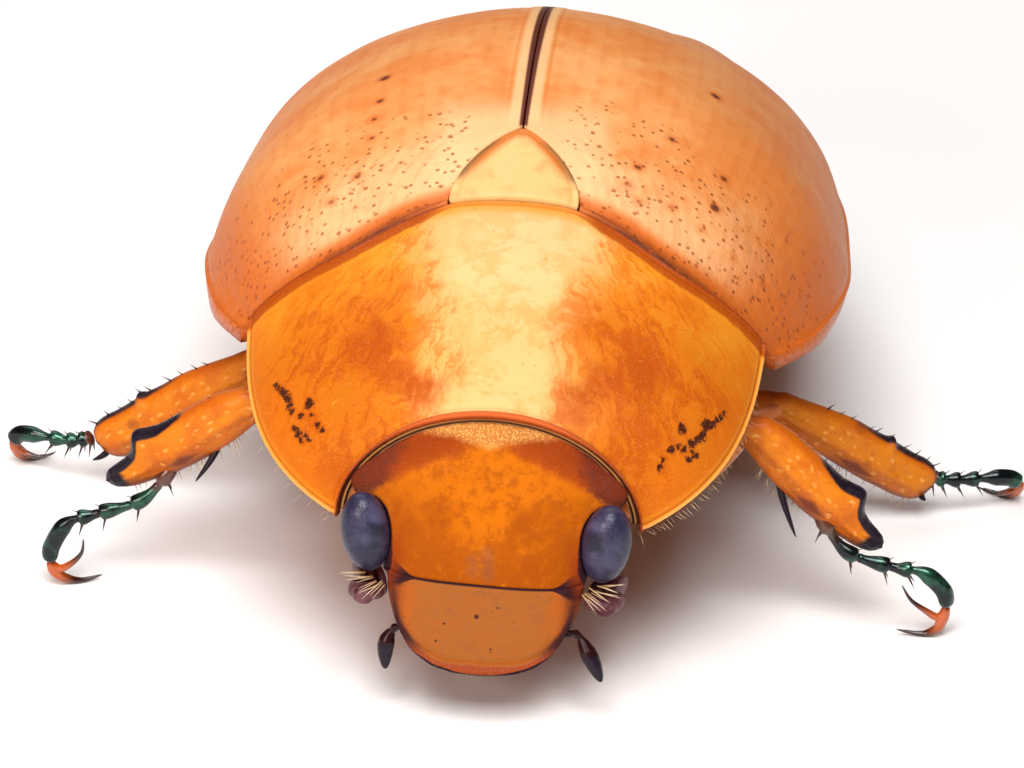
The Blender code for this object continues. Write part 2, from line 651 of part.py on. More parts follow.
def femur(leg):
    """Thick upper joint of the leg."""
    middle = (Vector(leg.hip) + Vector(leg.knee)) / 2 + Vector((0, 0, -FEMUR_SAG))
    radii = [max(leg.width) * share for share in FEMUR_SHARES]
    return tube(leg.name + "_femur", (leg.hip, middle, leg.knee), radii, 10, 8, FEMUR_FLAT)


def tibia(leg):
    """Flattened shin with its outer teeth and its spur."""
    start, end = Vector(leg.shin), Vector(leg.ankle)
    ahead = (end - start).normalized()
    up = Vector(leg.across)
    up = (up - ahead * up.dot(ahead)).normalized()
    side = ahead.cross(up)
    sections = []
    for i in range(SHIN_STEPS + 1):
        t = i / SHIN_STEPS
        half = spline([(w, 0, 0) for w in leg.width], t).x * (SHIN_ROOT if i == 0 else 1.0)
        sections.append(oval(start.lerp(end, t), side * half * SHIN_FLAT, up * half, 10, SHIN_POWER))
    shin = loft(leg.name + "_tibia", sections)
    half = leg.width[-1]
    pieces = []
    for i, (place, tip) in enumerate(leg.teeth):
        root = start.lerp(end, min(place, TOOTH_LAST)) + up * half * TOOTH_HEIGHT
        radius = TOOTH_RADIUS[leg.name.endswith("front")]
        pieces.append(spike(f"tooth_{i}", root, tip, radius, 8, SPIKE_BLUNT))
    for i, (place, tip) in enumerate(leg.spurs):
        root = start.lerp(end, min(place, TOOTH_LAST)) + up * half * SPUR_HEIGHT
        pieces.append(spike(f"spur_{i}", root, tip, SPUR_RADIUS, 6, SPIKE_BLUNT))
    return fuse(shin, pieces)


def tarsus(leg):
    """Five foot joints in a row, the last one long, with spines below the first four."""
    stations = []
    for bead in range(4):
        for share, radius in BEAD_RADII:
            stations.append(((bead + share) * FOOT_BEAD, radius))
    last = 4 * FOOT_BEAD
    for share, radius in LAST_RADII:
        stations.append((mix(last, 1.0, share), radius))
    sections = []
    for t, radius in stations:
        ahead = heading(leg.tarsus, t)
        side = ahead.cross(Vector((0, 0, 1))).normalized()
        sections.append(oval(spline(leg.tarsus, t), side * radius, side.cross(ahead) * radius, 8))
    foot = loft(leg.name + "_tarsus", sections)
    spines = []
    for bead in range(1, 4):
        t = (bead + SPINE_PLACE) * FOOT_BEAD
        centre = spline(leg.tarsus, t)
        tip = centre + Vector((0, 0, -SPINE_DROP)) + heading(leg.tarsus, t) * SPINE_LEAN
        spines.append(spike(f"spine_{bead}", centre, tip, SPINE_RADIUS, 5, SPIKE_BLUNT))
    return fuse(foot, spines)


def claws(leg):
    """Two hooked claws, the larger one flat where it rests on the ground."""
    big = tube(leg.name + "_claws", leg.claw, CLAW_RADII, 7, 6)
    small = tube("small_claw", leg.small_claw, SMALL_CLAW_RADII, 6, 5)
    foot = fuse(big, [small])
    return cut_flat(foot, (0, 0, 0), (0, 0, -1))


def finish(obj, finish_values):
    """Bring a mesh to metres, shade it and give it its own material."""
    obj.data.transform(Matrix.Scale(MM, 4))
    obj.data.shade_smooth()
    obj.data.set_sharp_from_angle(angle=math.radians(SHARP_ANGLE))
    colour, rough, metal = finish_values
    material = bpy.data.materials.new(obj.name)
    material.use_nodes = True
    shader = material.node_tree.nodes["Principled BSDF"]
    shader.inputs["Base Color"].default_value = colour
    shader.inputs["Roughness"].default_value = rough
    shader.inputs["Metallic"].default_value = metal
    obj.data.materials.clear()
    obj.data.materials.append(material)


def clear_scene():
    """Remove every object and make the model's own collection."""
    for obj in list(bpy.data.objects):
        bpy.data.objects.remove(obj)
    group = bpy.data.collections.new(COLLECTION)
    bpy.context.scene.collection.children.link(group)


def build():
    """Make every named piece of the beetle."""
    clear_scene()
    skull, mouth = head(), mouthparts()
    eyes = [eye("right_eye", -1), eye("left_eye", 1)]
    make_room(skull, eyes)
    feelers = [antenna("right_antenna", -1), antenna("left_antenna", 1)]
    palps = [palp(*row) for row in PALPS]
    plate, shield = pronotum(), scutellum()
    cases = [wing_case("right_elytron", -1), wing_case("left_elytron", 1)]
    front = body_block("prothorax", PROTHORAX_LEVELS, PROTHORAX_STEPS)
    middle = body_block("thorax", THORAX_LEVELS, THORAX_STEPS)
    rear, tail = abdomen(), pygidium()
    hips, thighs, shins, feet, hooks = [], [], [], [], []
    for leg in LEGS:
        hips.append(coxa(leg))
        thighs.append(femur(leg))
        shins.append(tibia(leg))
        feet.append(tarsus(leg))
        hooks.append(claws(leg))
    make_room(front, hips[:2] + thighs[:2])
    make_room(middle, hips[2:] + thighs[2:])
    make_room(rear, hips[4:] + thighs[4:])
    for objects, values in (([skull, plate, front], AMBER), (cases, TAN), ([shield], CREAM),
                            (eyes, SLATE), (feelers, BROWN), (palps, GREEN_BLACK), ([mouth], BROWN),
                            ([middle, rear, tail], UNDER_ORANGE), (hips + thighs + shins, LEG_ORANGE),
                            (feet, GREEN_BLACK), (hooks, CLAW_RED)):
        for obj in objects:
            finish(obj, values)


build()
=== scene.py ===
"""Washerwoman christmas beetle: its shell plates, limbs, bristles and finishes on the fixed solids.

Lengths are in millimetres until a finished mesh is brought to metres.
The head looks towards -Y, the beetle's own left side lies at +X and the floor is z = 0.
"""

import logging
import math
import random
from collections.abc import Callable, Mapping, Sequence
from dataclasses import dataclass, field
from enum import Enum
from functools import lru_cache

import bmesh
import bpy
from bmesh.types import BMesh
from mathutils import Matrix, Vector, noise
from mathutils.kdtree import KDTree


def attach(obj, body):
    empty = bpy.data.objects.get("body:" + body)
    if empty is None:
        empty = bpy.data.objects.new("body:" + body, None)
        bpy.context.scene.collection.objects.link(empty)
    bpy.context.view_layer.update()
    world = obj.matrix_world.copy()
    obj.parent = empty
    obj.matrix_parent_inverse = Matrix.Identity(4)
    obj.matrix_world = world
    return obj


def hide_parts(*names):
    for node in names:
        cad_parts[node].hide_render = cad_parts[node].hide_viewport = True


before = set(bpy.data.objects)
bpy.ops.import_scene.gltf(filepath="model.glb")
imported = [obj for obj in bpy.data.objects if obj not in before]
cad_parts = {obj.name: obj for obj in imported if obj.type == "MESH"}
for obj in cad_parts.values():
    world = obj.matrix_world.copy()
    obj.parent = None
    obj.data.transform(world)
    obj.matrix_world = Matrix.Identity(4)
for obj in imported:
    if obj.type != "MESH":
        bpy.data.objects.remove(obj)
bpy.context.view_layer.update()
MM = 0.001
BODY = "root"
log = logging.getLogger("beetle")

Point = tuple[float, float, float]
Colour = tuple[float, float, float]
Sizes = tuple[float, ...]
Rows = tuple[Sizes, ...]
Surface = Callable[[float, float], Vector]
Marks = Mapping[str, Callable[[float, float], float]]
Spots = tuple[tuple[float, float, float, float], ...]


class Slot(Enum):
    """Material slots of the record."""

    HEAD = "head_amber"
    EYE = "eye_slate"
    ANTENNA = "antenna_brown"
    PALP = "palp_dark"
    MOUTH = "mouth_brown"
    PRONOTUM = "pronotum_amber"
    UNDERSIDE = "underside_orange"
    SCUTELLUM = "scutellum_cream"
    ELYTRA = "elytra_tan"
    LEG = "leg_orange"
    TARSUS = "tarsus_green"
    CLAW = "claw_red"


class Side(Enum):
    """The beetle's own sides; the value is the sign of X."""

    RIGHT = -1
    LEFT = 1

    @property
    def word(self) -> str:
        """The side's name in the names of nodes."""
        return self.name.lower()


def on_side(points: Rows, side: Side) -> Rows:
    """Points of the left side, brought to a side."""
    return tuple((x * side.value, *rest) for x, *rest in points)


def mix(first: float, second: float, share: float) -> float:
    """Value between two others."""
    return first + (second - first) * share


def smooth_step(low: float, high: float, value: float) -> float:
    """0 at low, 1 at high and a soft ramp between, also where low is the larger."""
    share = min(max((value - low) / (high - low), 0.0), 1.0)
    return share * share * (3.0 - 2.0 * share)


def bell(distance: float, width: float) -> float:
    """Soft hump that is 1 at distance 0 and fades over the width."""
    return math.exp(-((distance / width) ** 2))


@lru_cache(maxsize=None)
def bezier(points: Rows, share: float) -> Vector:
    """Point of a Bezier curve of any degree.

    Args:
        points: its control points.
        share: place on it, from 0 to 1.
    Returns:
        The point.
    """
    left = [Vector(p) for p in points]
    while len(left) > 1:
        left = [a.lerp(b, share) for a, b in zip(left, left[1:])]
    return left[0].freeze()


@lru_cache(maxsize=None)
def spline(points: Rows, share: float) -> Vector:
    """Point of a smooth curve through every given point.

    Args:
        points: points or rows of sizes, all of one length.
        share: place on the curve, from 0 at its first point to 1 at its last.
    Returns:
        The interpolated point or row.
    """
    left = [Vector(p) for p in points]
    spans = len(left) - 1
    index = min(int(share * spans), spans - 1)
    local = share * spans - index
    before, start = left[max(index - 1, 0)], left[index]
    end, after = left[index + 1], left[min(index + 2, spans)]
    leave, arrive = (end - before) * 0.5, (after - start) * 0.5
    square, cube = local * local, local ** 3
    place = (start * (2 * cube - 3 * square + 1) + leave * (cube - 2 * square + local)
             + end * (3 * square - 2 * cube) + arrive * (cube - square))
    return place.freeze()


@lru_cache(maxsize=None)
def row_at(rows: Rows, key: float) -> Vector:
    """Row of sizes at a key.

    Args:
        rows: rows sorted by their first number.
        key: value of that number.
    Returns:
        The row, smoothly blended.
    """
    spans = len(rows) - 1
    rising = rows[-1][0] > rows[0][0]
    for index, (low, high) in enumerate(zip(rows, rows[1:])):
        if (key <= high[0]) if rising else (key >= high[0]):
            local = min(max((key - low[0]) / (high[0] - low[0]), 0.0), 1.0)
            return spline(rows, (index + local) / spans)
    return spline(rows, 1.0)


def crowd(share: float, strength: float) -> float:
    """Draws even steps from 0 to 1 together towards both ends."""
    return share - strength * math.sin(math.tau * share) / math.tau


def roll(distance: float, radius: float) -> float:
    """Drop of a rounded edge.

    Args:
        distance: distance from the edge.
        radius: radius of the rounding.
    Returns:
        The drop, 0 beyond the radius.
    """
    if distance >= radius:
        return 0.0
    return radius - math.sqrt(max(radius ** 2 - (radius - distance) ** 2, 0.0))


def bead(distance: float, width: float, height: float) -> float:
    """Height of a half-round bead that runs along an edge."""
    return height * math.sin(math.pi * distance / width) if distance < width else 0.0


def frame_along(ahead: Vector, up: Vector) -> tuple[Vector, Vector]:
    """Two directions square to a path.

    Args:
        ahead: direction of the path.
        up: direction that the second result should lie close to.
    Returns:
        The side and the up direction, both of length 1.
    """
    side = ahead.cross(up).normalized()
    return side, side.cross(ahead).normalized()


def sleeve(around: int, along: int, surface: Surface, marks: Marks | None = None) -> BMesh:
    """Closed sleeve, wrapped from a grid.

    Args:
        around: faces round the sleeve.
        along: faces from end to end.
        surface: point for u, once round the sleeve, and v, from end to end, both from 0 to 1.
        marks: numbers to write on the vertices, each a function of u and v.
    Returns:
        The closed mesh, its ends filled where they don't run to a point.
    """
    bm = bmesh.new()
    bmesh.ops.create_grid(bm, x_segments=around, y_segments=along, size=0.5)
    layers = {name: bm.verts.layers.float.new(name) for name in marks or {}}
    for vert in bm.verts:
        u, v = vert.co.x + 0.5, vert.co.y + 0.5
        vert.co = surface(u % 1.0 if u < 0.99999 else 0.0, min(max(v, 0.0), 1.0))
        for name, layer in layers.items():
            vert[layer] = marks[name](u, v)
    bmesh.ops.remove_doubles(bm, verts=bm.verts, dist=0.0004)
    open_edges = [edge for edge in bm.edges if edge.is_boundary]
    bmesh.ops.holes_fill(bm, edges=open_edges, sides=0)
    bmesh.ops.recalc_face_normals(bm, faces=bm.faces)
    return bm


def rod(points: Rows, radii: Sequence[float] | Callable[[float], float], segments: int = 12,
        steps: int = 16, flat: float = 1.0, up: Point = (0.0, 0.0, 1.0), blunt: int = 16,
        marks: Marks | None = None) -> BMesh:
    """Closed tapering rod with round ends along a smooth path.

    Args:
        points: points that the path runs through.
        radii: radii read evenly along the path, or the radius at a share of it.
        segments: faces round the rod.
        steps: faces from end to end.
        flat: half thickness to the side as a share of the radius.
        up: direction that the rod's wide side lies close to.
        blunt: power that keeps the ends round, higher for blunter ones.
        marks: numbers to write on the vertices, each a function of u and v.
    Returns:
        The closed mesh.
    """
    path = tuple(tuple(p) for p in points)

    def surface(u: float, v: float) -> Vector:
        """Point of the rod's skin.

        Args:
            u: place across, 0 to 1.
            v: place along, 0 to 1.
        Returns:
            The point.
        """
        ahead = (spline(path, min(v + 0.02, 1.0)) - spline(path, max(v - 0.02, 0.0))).normalized()
        side, over = frame_along(ahead, Vector(up))
        if callable(radii):
            radius = radii(v)
        else:
            index = min(int(v * (len(radii) - 1)), len(radii) - 2)
            radius = mix(radii[index], radii[index + 1], v * (len(radii) - 1) - index)
        radius *= math.sqrt(max(1.0 - (2.0 * v - 1.0) ** blunt, 0.0))
        angle = math.tau * u
        return spline(path, v) + side * radius * flat * math.cos(angle) + over * radius * math.sin(angle)

    return sleeve(segments, steps, surface, marks)


def ball(centre: Point, radii: Point, turn: Matrix | None = None, segments: int = 32,
         rings: int = 20) -> BMesh:
    """Closed ball, stretched, turned and moved.

    Args:
        centre: its middle.
        radii: its three radii.
        turn: turn after the stretching.
        segments: faces round it.
        rings: faces from pole to pole.
    Returns:
        The mesh.
    """
    bm = bmesh.new()
    bmesh.ops.create_uvsphere(bm, u_segments=segments, v_segments=rings, radius=1.0)
    shape = Matrix.Translation(centre) @ (turn or Matrix()) @ Matrix.Diagonal((*radii, 1.0))
    bmesh.ops.transform(bm, matrix=shape, verts=bm.verts)
    return bm


def to_mesh(name: str, bm: BMesh) -> bpy.types.Mesh:
    """Mesh data made from a bmesh.

    Args:
        name: name of the data.
        bm: the bmesh, which is freed.
    Returns:
        The data.
    """
    mesh = bpy.data.meshes.new(name)
    bm.to_mesh(mesh)
    bm.free()
    return mesh


def linked(name: str, data: bpy.types.ID) -> bpy.types.Object:
    """Puts data into the scene.

    Args:
        name: name of the object.
        data: mesh, light or camera.
    Returns:
        The object.
    """
    obj = bpy.data.objects.new(name, data)
    bpy.context.scene.collection.objects.link(obj)
    return obj


def tree_of(points: Sequence[Vector]) -> KDTree:
    """Search tree of points.

    Args:
        points: the points.
    Returns:
        The balanced tree.
    """
    tree = KDTree(len(points))
    for index, point in enumerate(points):
        tree.insert(point, index)
    tree.balance()
    return tree


def gathered(parts: Sequence[BMesh]) -> BMesh:
    """One mesh that holds every part.

    Args:
        parts: meshes, which are freed.
    Returns:
        The mesh.
    """
    whole = bmesh.new()
    for part in parts:
        mesh = to_mesh("part", part)
        whole.from_mesh(mesh)
        bpy.data.meshes.remove(mesh)
    return whole


def melted(parts: Sequence[BMesh], voxel: float, passes: int) -> BMesh:
    """One skin over overlapping closed parts.

    Args:
        parts: closed meshes that overlap.
        voxel: size of the skin's faces.
        passes: rounds of smoothing, which fill the inner corners.
    Returns:
        The melted mesh.
    """
    mesh = to_mesh("melted", gathered(parts))
    obj = linked("melted", mesh)
    skin = obj.modifiers.new("skin", "REMESH")
    skin.mode = "VOXEL"
    skin.voxel_size = voxel
    graph = bpy.context.evaluated_depsgraph_get()
    result = bpy.data.meshes.new_from_object(obj.evaluated_get(graph))
    bpy.data.objects.remove(obj)
    bpy.data.meshes.remove(mesh)
    bm = bmesh.new()
    bm.from_mesh(result)
    bpy.data.meshes.remove(result)
    for _ in range(passes):
        bmesh.ops.smooth_vert(bm, verts=bm.verts, factor=0.5, use_axis_x=True, use_axis_y=True,
                              use_axis_z=True)
    return bm


def above_floor(bm: BMesh) -> BMesh:
    """Flattens a mesh where it would sink below the floor.

    Args:
        bm: the mesh.
    Returns:
        The same mesh.
    """
    for vert in bm.verts:
        vert.co.z = max(vert.co.z, 0.0)
    return bm


def place_piece(name: str, bm: BMesh, material: bpy.types.Material, slot: Slot,
                nodes: Sequence[str] = ()) -> None:
    """Finishes a mesh as a piece of the beetle, in metres and riding on the body.

    Args:
        name: name of the piece.
        bm: its mesh in millimetres, which is freed.
        material: its finish.
        slot: record slot that the finish belongs to; not used.
        nodes: nodes of the solids that the piece stands for.
    """
    bmesh.ops.scale(bm, vec=(MM, MM, MM), verts=bm.verts)
    mesh = to_mesh(name, bm)
    mesh.shade_smooth()
    mesh.materials.append(material)
    obj = linked(name, mesh)
    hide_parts(*nodes)
    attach(obj, BODY)
    log.info("%s: %d faces", name, len(mesh.polygons))


def operator(operation: str, swapped: bool = False) -> Callable[..., "Value"]:
    """Makes a method of Value from one operation of the Math node.

    Args:
        operation: name of the operation.
        swapped: whether the value itself comes second.
    Returns:
        The method.
    """
    def method(value: "Value", other: object = 0.0) -> "Value":
        """Result of the operation.

        Args:
            value: the value itself.
            other: number or value.
        Returns:
            The result.
        """
        pair = (other, value) if swapped else (value, other)
        node = value.paint.node("ShaderNodeMath", {"operation": operation}, dict(enumerate(pair)))
        return Value(value.paint, node.outputs[0])

    return method


class Value:
    """A number in a shader that takes part in ordinary arithmetic."""

    __add__ = __radd__ = operator("ADD")
    __sub__, __rsub__ = operator("SUBTRACT"), operator("SUBTRACT", True)
    __mul__ = __rmul__ = operator("MULTIPLY")
    __truediv__, __rtruediv__ = operator("DIVIDE"), operator("DIVIDE", True)
    __pow__, __abs__, sine = operator("POWER"), operator("ABSOLUTE"), operator("SINE")
    least, most = operator("MINIMUM"), operator("MAXIMUM")

    def __init__(self, paint: "Paint", socket: bpy.types.NodeSocket) -> None:
        """Wraps an output socket."""
        self.paint = paint
        self.socket = socket

    def ramp(self, low: float, high: float) -> "Value":
        """Smooth step from 0 to 1.

        Args:
            low: where it is 0.
            high: where it is 1, also below low.
        Returns:
            The step.
        """
        node = self.paint.node("ShaderNodeMapRange", {"interpolation_type": "SMOOTHSTEP"},
                               {0: self, 1: low, 2: high, 3: 0.0, 4: 1.0})
        return Value(self.paint, node.outputs[0])


class Paint:
    """Node tree of one finish."""

    def __init__(self, name: str, base: Colour, roughness: float, specular: float = 0.5,
                 coat: float = 0.0) -> None:
        """Starts a Principled material.

        Args:
            name: name of the material.
            base: first colour.
            roughness: roughness where no pattern changes it.
            specular: strength of the plain reflection.
            coat: weight of the clear coat.
        """
        self.material = bpy.data.materials.new(name)
        self.material.use_nodes = True
        self.tree = self.material.node_tree
        self.shader = self.tree.nodes["Principled BSDF"]
        self.colour = base
        self.shader.inputs["Base Color"].default_value = (*base, 1.0)
        self.shader.inputs["Roughness"].default_value = roughness
        self.shader.inputs["Specular IOR Level"].default_value = specular
        self.shader.inputs["Coat Weight"].default_value = coat
        self.shader.inputs["Coat Roughness"].default_value = 0.08
        coordinates = self.node("ShaderNodeTexCoord")
        self.place = self.vector("SCALE", coordinates.outputs["Object"], scale=1 / MM)

    def node(self, kind: str, settings: Mapping[str, object] | None = None,
             values: Mapping[int | str, object] | None = None) -> bpy.types.Node:
        """Adds any node.

        Args:
            kind: type of the node.
            settings: its properties, set before the sockets.
            values: numbers, colours or links for its sockets.
        Returns:
            The node.
        """
        made = self.tree.nodes.new(kind)
        for key, value in (settings or {}).items():
            setattr(made, key, value)
        for key, value in (values or {}).items():
            value = value.socket if isinstance(value, Value) else value
            if isinstance(value, bpy.types.NodeSocket):
                self.tree.links.new(value, made.inputs[key])
            else:
                made.inputs[key].default_value = value
        return made

    def vector(self, operation: str, first: object, second: object = (0.0, 0.0, 0.0),
               scale: float = 1.0) -> bpy.types.NodeSocket:
        """Result of one Vector Math node.

        Args:
            operation: name of the operation.
            first: first vector.
            second: second vector.
            scale: number that SCALE uses.
        Returns:
            The output socket.
        """
        node = self.node("ShaderNodeVectorMath", {"operation": operation},
                         {0: first, 1: second, 3: scale})
        return node.outputs["Value" if operation in ("DISTANCE", "DOT_PRODUCT") else "Vector"]

    def mark(self, name: str) -> Value:
        """Number that the mesh carries on its vertices."""
        node = self.node("ShaderNodeAttribute", {"attribute_name": name})
        return Value(self, node.outputs["Fac"])

    def axis(self, name: str) -> Value:
        """X, Y or Z of the place, in millimetres."""
        split = self.node("ShaderNodeSeparateXYZ", None, {0: self.place})
        return Value(self, split.outputs[name])

    def noise(self, scale: float, detail: float = 4.0, rough: float = 0.5, twist: float = 0.0,
              place: bpy.types.NodeSocket | None = None) -> Value:
        """Soft noise.

        Args:
            scale: features per millimetre.
            detail: octaves.
            rough: weight of the fine octaves.
            twist: distortion.
            place: vector to read, the piece's own place if none.
        Returns:
            The noise.
        """
        node = self.node("ShaderNodeTexNoise", None,
                         {"Vector": place or self.place, "Scale": scale, "Detail": detail,
                          "Roughness": rough, "Distortion": twist})
        return Value(self, node.outputs["Fac"])

    def cells(self, scale: float, place: bpy.types.NodeSocket | None = None) -> tuple[Value, Value]:
        """Cells scattered at random.

        Args:
            scale: cells per millimetre.
            place: vector to read, the piece's own place if none.
        Returns:
            The distance from the cell's centre and a random number of the cell.
        """
        node = self.node("ShaderNodeTexVoronoi", None, {"Vector": place or self.place, "Scale": scale})
        split = self.node("ShaderNodeSeparateColor", None, {0: node.outputs["Color"]})
        return Value(self, node.outputs["Distance"]), Value(self, split.outputs[0])

    def joined(self, x: object, y: object) -> bpy.types.NodeSocket:
        """Vector made from two numbers."""
        return self.node("ShaderNodeCombineXYZ", None, {0: x, 1: y}).outputs[0]

    def warped(self, scale: float, amount: float) -> bpy.types.NodeSocket:
        """The place, pushed about by noise.

        Args:
            scale: features of the noise per millimetre.
            amount: reach of the push.
        Returns:
            The vector.
        """
        node = self.node("ShaderNodeTexNoise", None, {"Vector": self.place, "Scale": scale, "Detail": 3.0})
        centred = self.vector("SUBTRACT", node.outputs["Color"], (0.5, 0.5, 0.5))
        return self.vector("ADD", self.place, self.vector("SCALE", centred, scale=amount))

    def spots(self, centres: Spots, place: bpy.types.NodeSocket | None = None) -> Value:
        """Distance to the edge of the nearest of several round spots.

        Args:
            centres: place and radius of each.
            place: vector to read, the piece's own place if none.
        Returns:
            The distance, negative inside.
        """
        nearest = None
        for x, y, z, radius in centres:
            distance = Value(self, self.vector("DISTANCE", place or self.place, (x, y, z))) - radius
            nearest = distance if nearest is None else nearest.least(distance)
        return nearest

    def blend(self, share: object, first: object, second: object) -> bpy.types.NodeSocket:
        """Colour between two others.

        Args:
            share: share of the second.
            first: first colour.
            second: second colour.
        Returns:
            The output socket.
        """
        pair = [(*c, 1.0) if isinstance(c, tuple) else c for c in (first, second)]
        node = self.node("ShaderNodeMix", {"data_type": "RGBA"}, {0: share, 6: pair[0], 7: pair[1]})
        return node.outputs[2]

    def lay(self, share: object, colour: object) -> None:
        """Covers the colour so far with another, by a share."""
        self.colour = self.blend(share, self.colour, colour)

    def relief(self, height: Value) -> None:
        """Fine relief from a height in millimetres."""
        bump = self.node("ShaderNodeBump", None, {"Height": height, "Distance": MM, "Strength": 1.0})
        self.feed("Normal", bump.outputs[0])

    def feed(self, socket: str, value: object) -> None:
        """Links a number or colour to a socket of the shader."""
        value = value.socket if isinstance(value, Value) else value
        self.tree.links.new(value, self.shader.inputs[socket])

    def done(self) -> bpy.types.Material:
        """The material, with its last colour linked."""
        self.feed("Base Color", self.colour)
        return self.material


@dataclass(frozen=True)
class PronotumFinish:
    """Golden plate: cream middle partly a painted highlight, feathered marbling, painted shade at the front
    corners and along the hind edge, dark scribbles and a red front lip.
    """

    gold: Colour = (0.72, 0.270, 0.016)
    amber: Colour = (0.59, 0.128, 0.004)
    deep: Colour = (0.37, 0.060, 0.003)
    honey: Colour = (0.43, 0.105, 0.003)
    # Cream of the middle, which stands partly for a painted highlight.
    cream: Colour = (0.77, 0.48, 0.21)
    peach: Colour = (0.73, 0.335, 0.095)
    red: Colour = (0.60, 0.115, 0.026)
    rust: Colour = (0.22, 0.036, 0.006)
    ink: Colour = (0.055, 0.011, 0.004)
    scribble_right: Spots = (
        (-4.50, -8.14, 5.84, 0.03), (-4.42, -8.22, 5.86, 0.04), (-4.33, -8.32, 5.86, 0.06),
        (-4.26, -8.42, 5.84, 0.07), (-4.19, -8.54, 5.79, 0.07), (-4.14, -8.66, 5.71, 0.05),
        (-4.11, -8.76, 5.64, 0.05), (-3.73, -8.85, 5.87, 0.09), (-3.89, -8.95, 5.63, 0.05),
        (-4.01, -9.06, 5.36, 0.04), (-3.95, -9.10, 5.40, 0.04), (-3.92, -9.15, 5.33, 0.04),
        (-3.85, -9.25, 5.25, 0.04), (-3.75, -9.24, 5.36, 0.035), (-3.68, -9.32, 5.29, 0.03),
        (-3.67, -9.03, 5.71, 0.03), (-3.53, -9.23, 5.57, 0.035), (-3.42, -9.31, 5.53, 0.03))
    scribble_left: Spots = (
        (3.79, -8.89, 5.78, 0.09), (4.60, -8.12, 5.72, 0.03), (4.52, -8.22, 5.72, 0.04),
        (4.45, -8.33, 5.71, 0.06), (4.38, -8.44, 5.69, 0.07), (4.30, -8.52, 5.70, 0.08),
        (4.24, -8.60, 5.68, 0.09), (4.22, -8.70, 5.60, 0.08), (4.15, -8.79, 5.57, 0.06),
        (4.10, -8.88, 5.52, 0.07), (3.99, -8.99, 5.49, 0.07), (4.04, -9.09, 5.29, 0.06),
        (3.96, -9.17, 5.24, 0.06), (3.86, -9.14, 5.42, 0.06), (3.71, -9.15, 5.53, 0.04),
        (3.60, -9.26, 5.47, 0.06), (3.40, -9.50, 5.22, 0.04), (3.45, -9.40, 5.34, 0.03))
    blotches: Spots = ((-1.55, -9.22, 6.50, 0.26), (1.60, -9.20, 6.50, 0.28), (-2.6, -8.3, 6.9, 0.40),
                       (3.0, -8.2, 6.7, 0.45), (2.1, -8.8, 6.65, 0.25), (-1.9, -9.0, 6.65, 0.25))

    def make(self) -> bpy.types.Material:
        """Paints the material.

        Returns:
            The material.
        """
        paint = Paint("pronotum_amber", self.cream, 0.38, 0.05)
        x, y = paint.axis("X"), paint.axis("Y")
        broad = paint.noise(0.45, 2.0)
        mottle = paint.noise(1.1, 4.0, 0.6, 0.3)
        pushed = paint.warped(0.9, 0.9)
        islands = paint.noise(0.95, 3.0, 0.5, 0.3, pushed)
        fringe = paint.noise(3.4, 6.0, 0.7, 0.2, pushed)
        ray = x / (-1.5 - y) * 38.0 + (mottle - 0.5) * 7.0
        feather = paint.noise(1.0, 5.0, 0.66, 0.4, paint.joined(ray, y * 1.9 + (fringe - 0.5) * 1.6))
        width = 2.0 + (y + 5.0) * 0.2
        # The flanks are golden; the cream left in the middle is partly a painted highlight.
        flank = (abs(x - 0.2) - width + (broad - 0.5) * 1.9 + (mottle - 0.5) * 1.6).ramp(-1.0, 1.0)
        side, hind = paint.mark("from_side"), paint.mark("from_hind")
        edge = side.least(hind)
        paint.lay(flank, self.gold)
        smudge = (mottle + (fringe - 0.5) * 1.1).ramp(0.4, 0.68) + y.ramp(-6.6, -8.2) * 0.6
        paint.lay(smudge * (1.0 - flank) * 0.6, self.peach)
        middle = (abs(abs(x) - 2.9) / 2.2 + abs(y + 7.8) / 3.0).ramp(1.5, 0.3)
        shape = islands * 0.55 + feather * 0.75 + (fringe - 0.5) * 0.2 + middle * 0.12 - (y + 7.6) * 0.025
        # Painted shade: the marbling is laid darker toward the front corners.
        corner = y.ramp(-5.6, -8.2) * (abs(x) + (broad - 0.5)).ramp(1.0, 2.6)
        paint.lay(corner * shape.ramp(0.45, 0.6) * 0.85, self.honey)
        marble = shape.ramp(0.61, 0.76) * flank.ramp(0.1, 0.6)
        paint.lay(marble * (0.7 - corner * 0.3), self.amber)
        core = shape.ramp(0.72, 0.88) * flank * edge.ramp(0.1, 0.9)
        paint.lay(core * (0.45 + corner * 0.25), self.deep)
        patch = paint.spots(self.blotches, paint.warped(1.6, 1.0)).ramp(0.4, -0.1)
        paint.lay(patch * (0.25 + feather * 0.9), self.deep)
        outer = (edge + (mottle - 0.5) * 0.8).ramp(1.6, 0.2) * abs(x).ramp(2.2, 3.6)
        paint.lay(outer * 0.4, self.amber)
        paint.lay(side.ramp(0.34, 0.12) * 0.7, self.gold)
        paint.lay(side.ramp(0.11, 0.07) * 0.7, self.peach)
        paint.lay(abs(side - 0.13).ramp(0.04, 0.005) * 0.7, self.deep)
        aside = abs(x).ramp(1.0, 1.9)
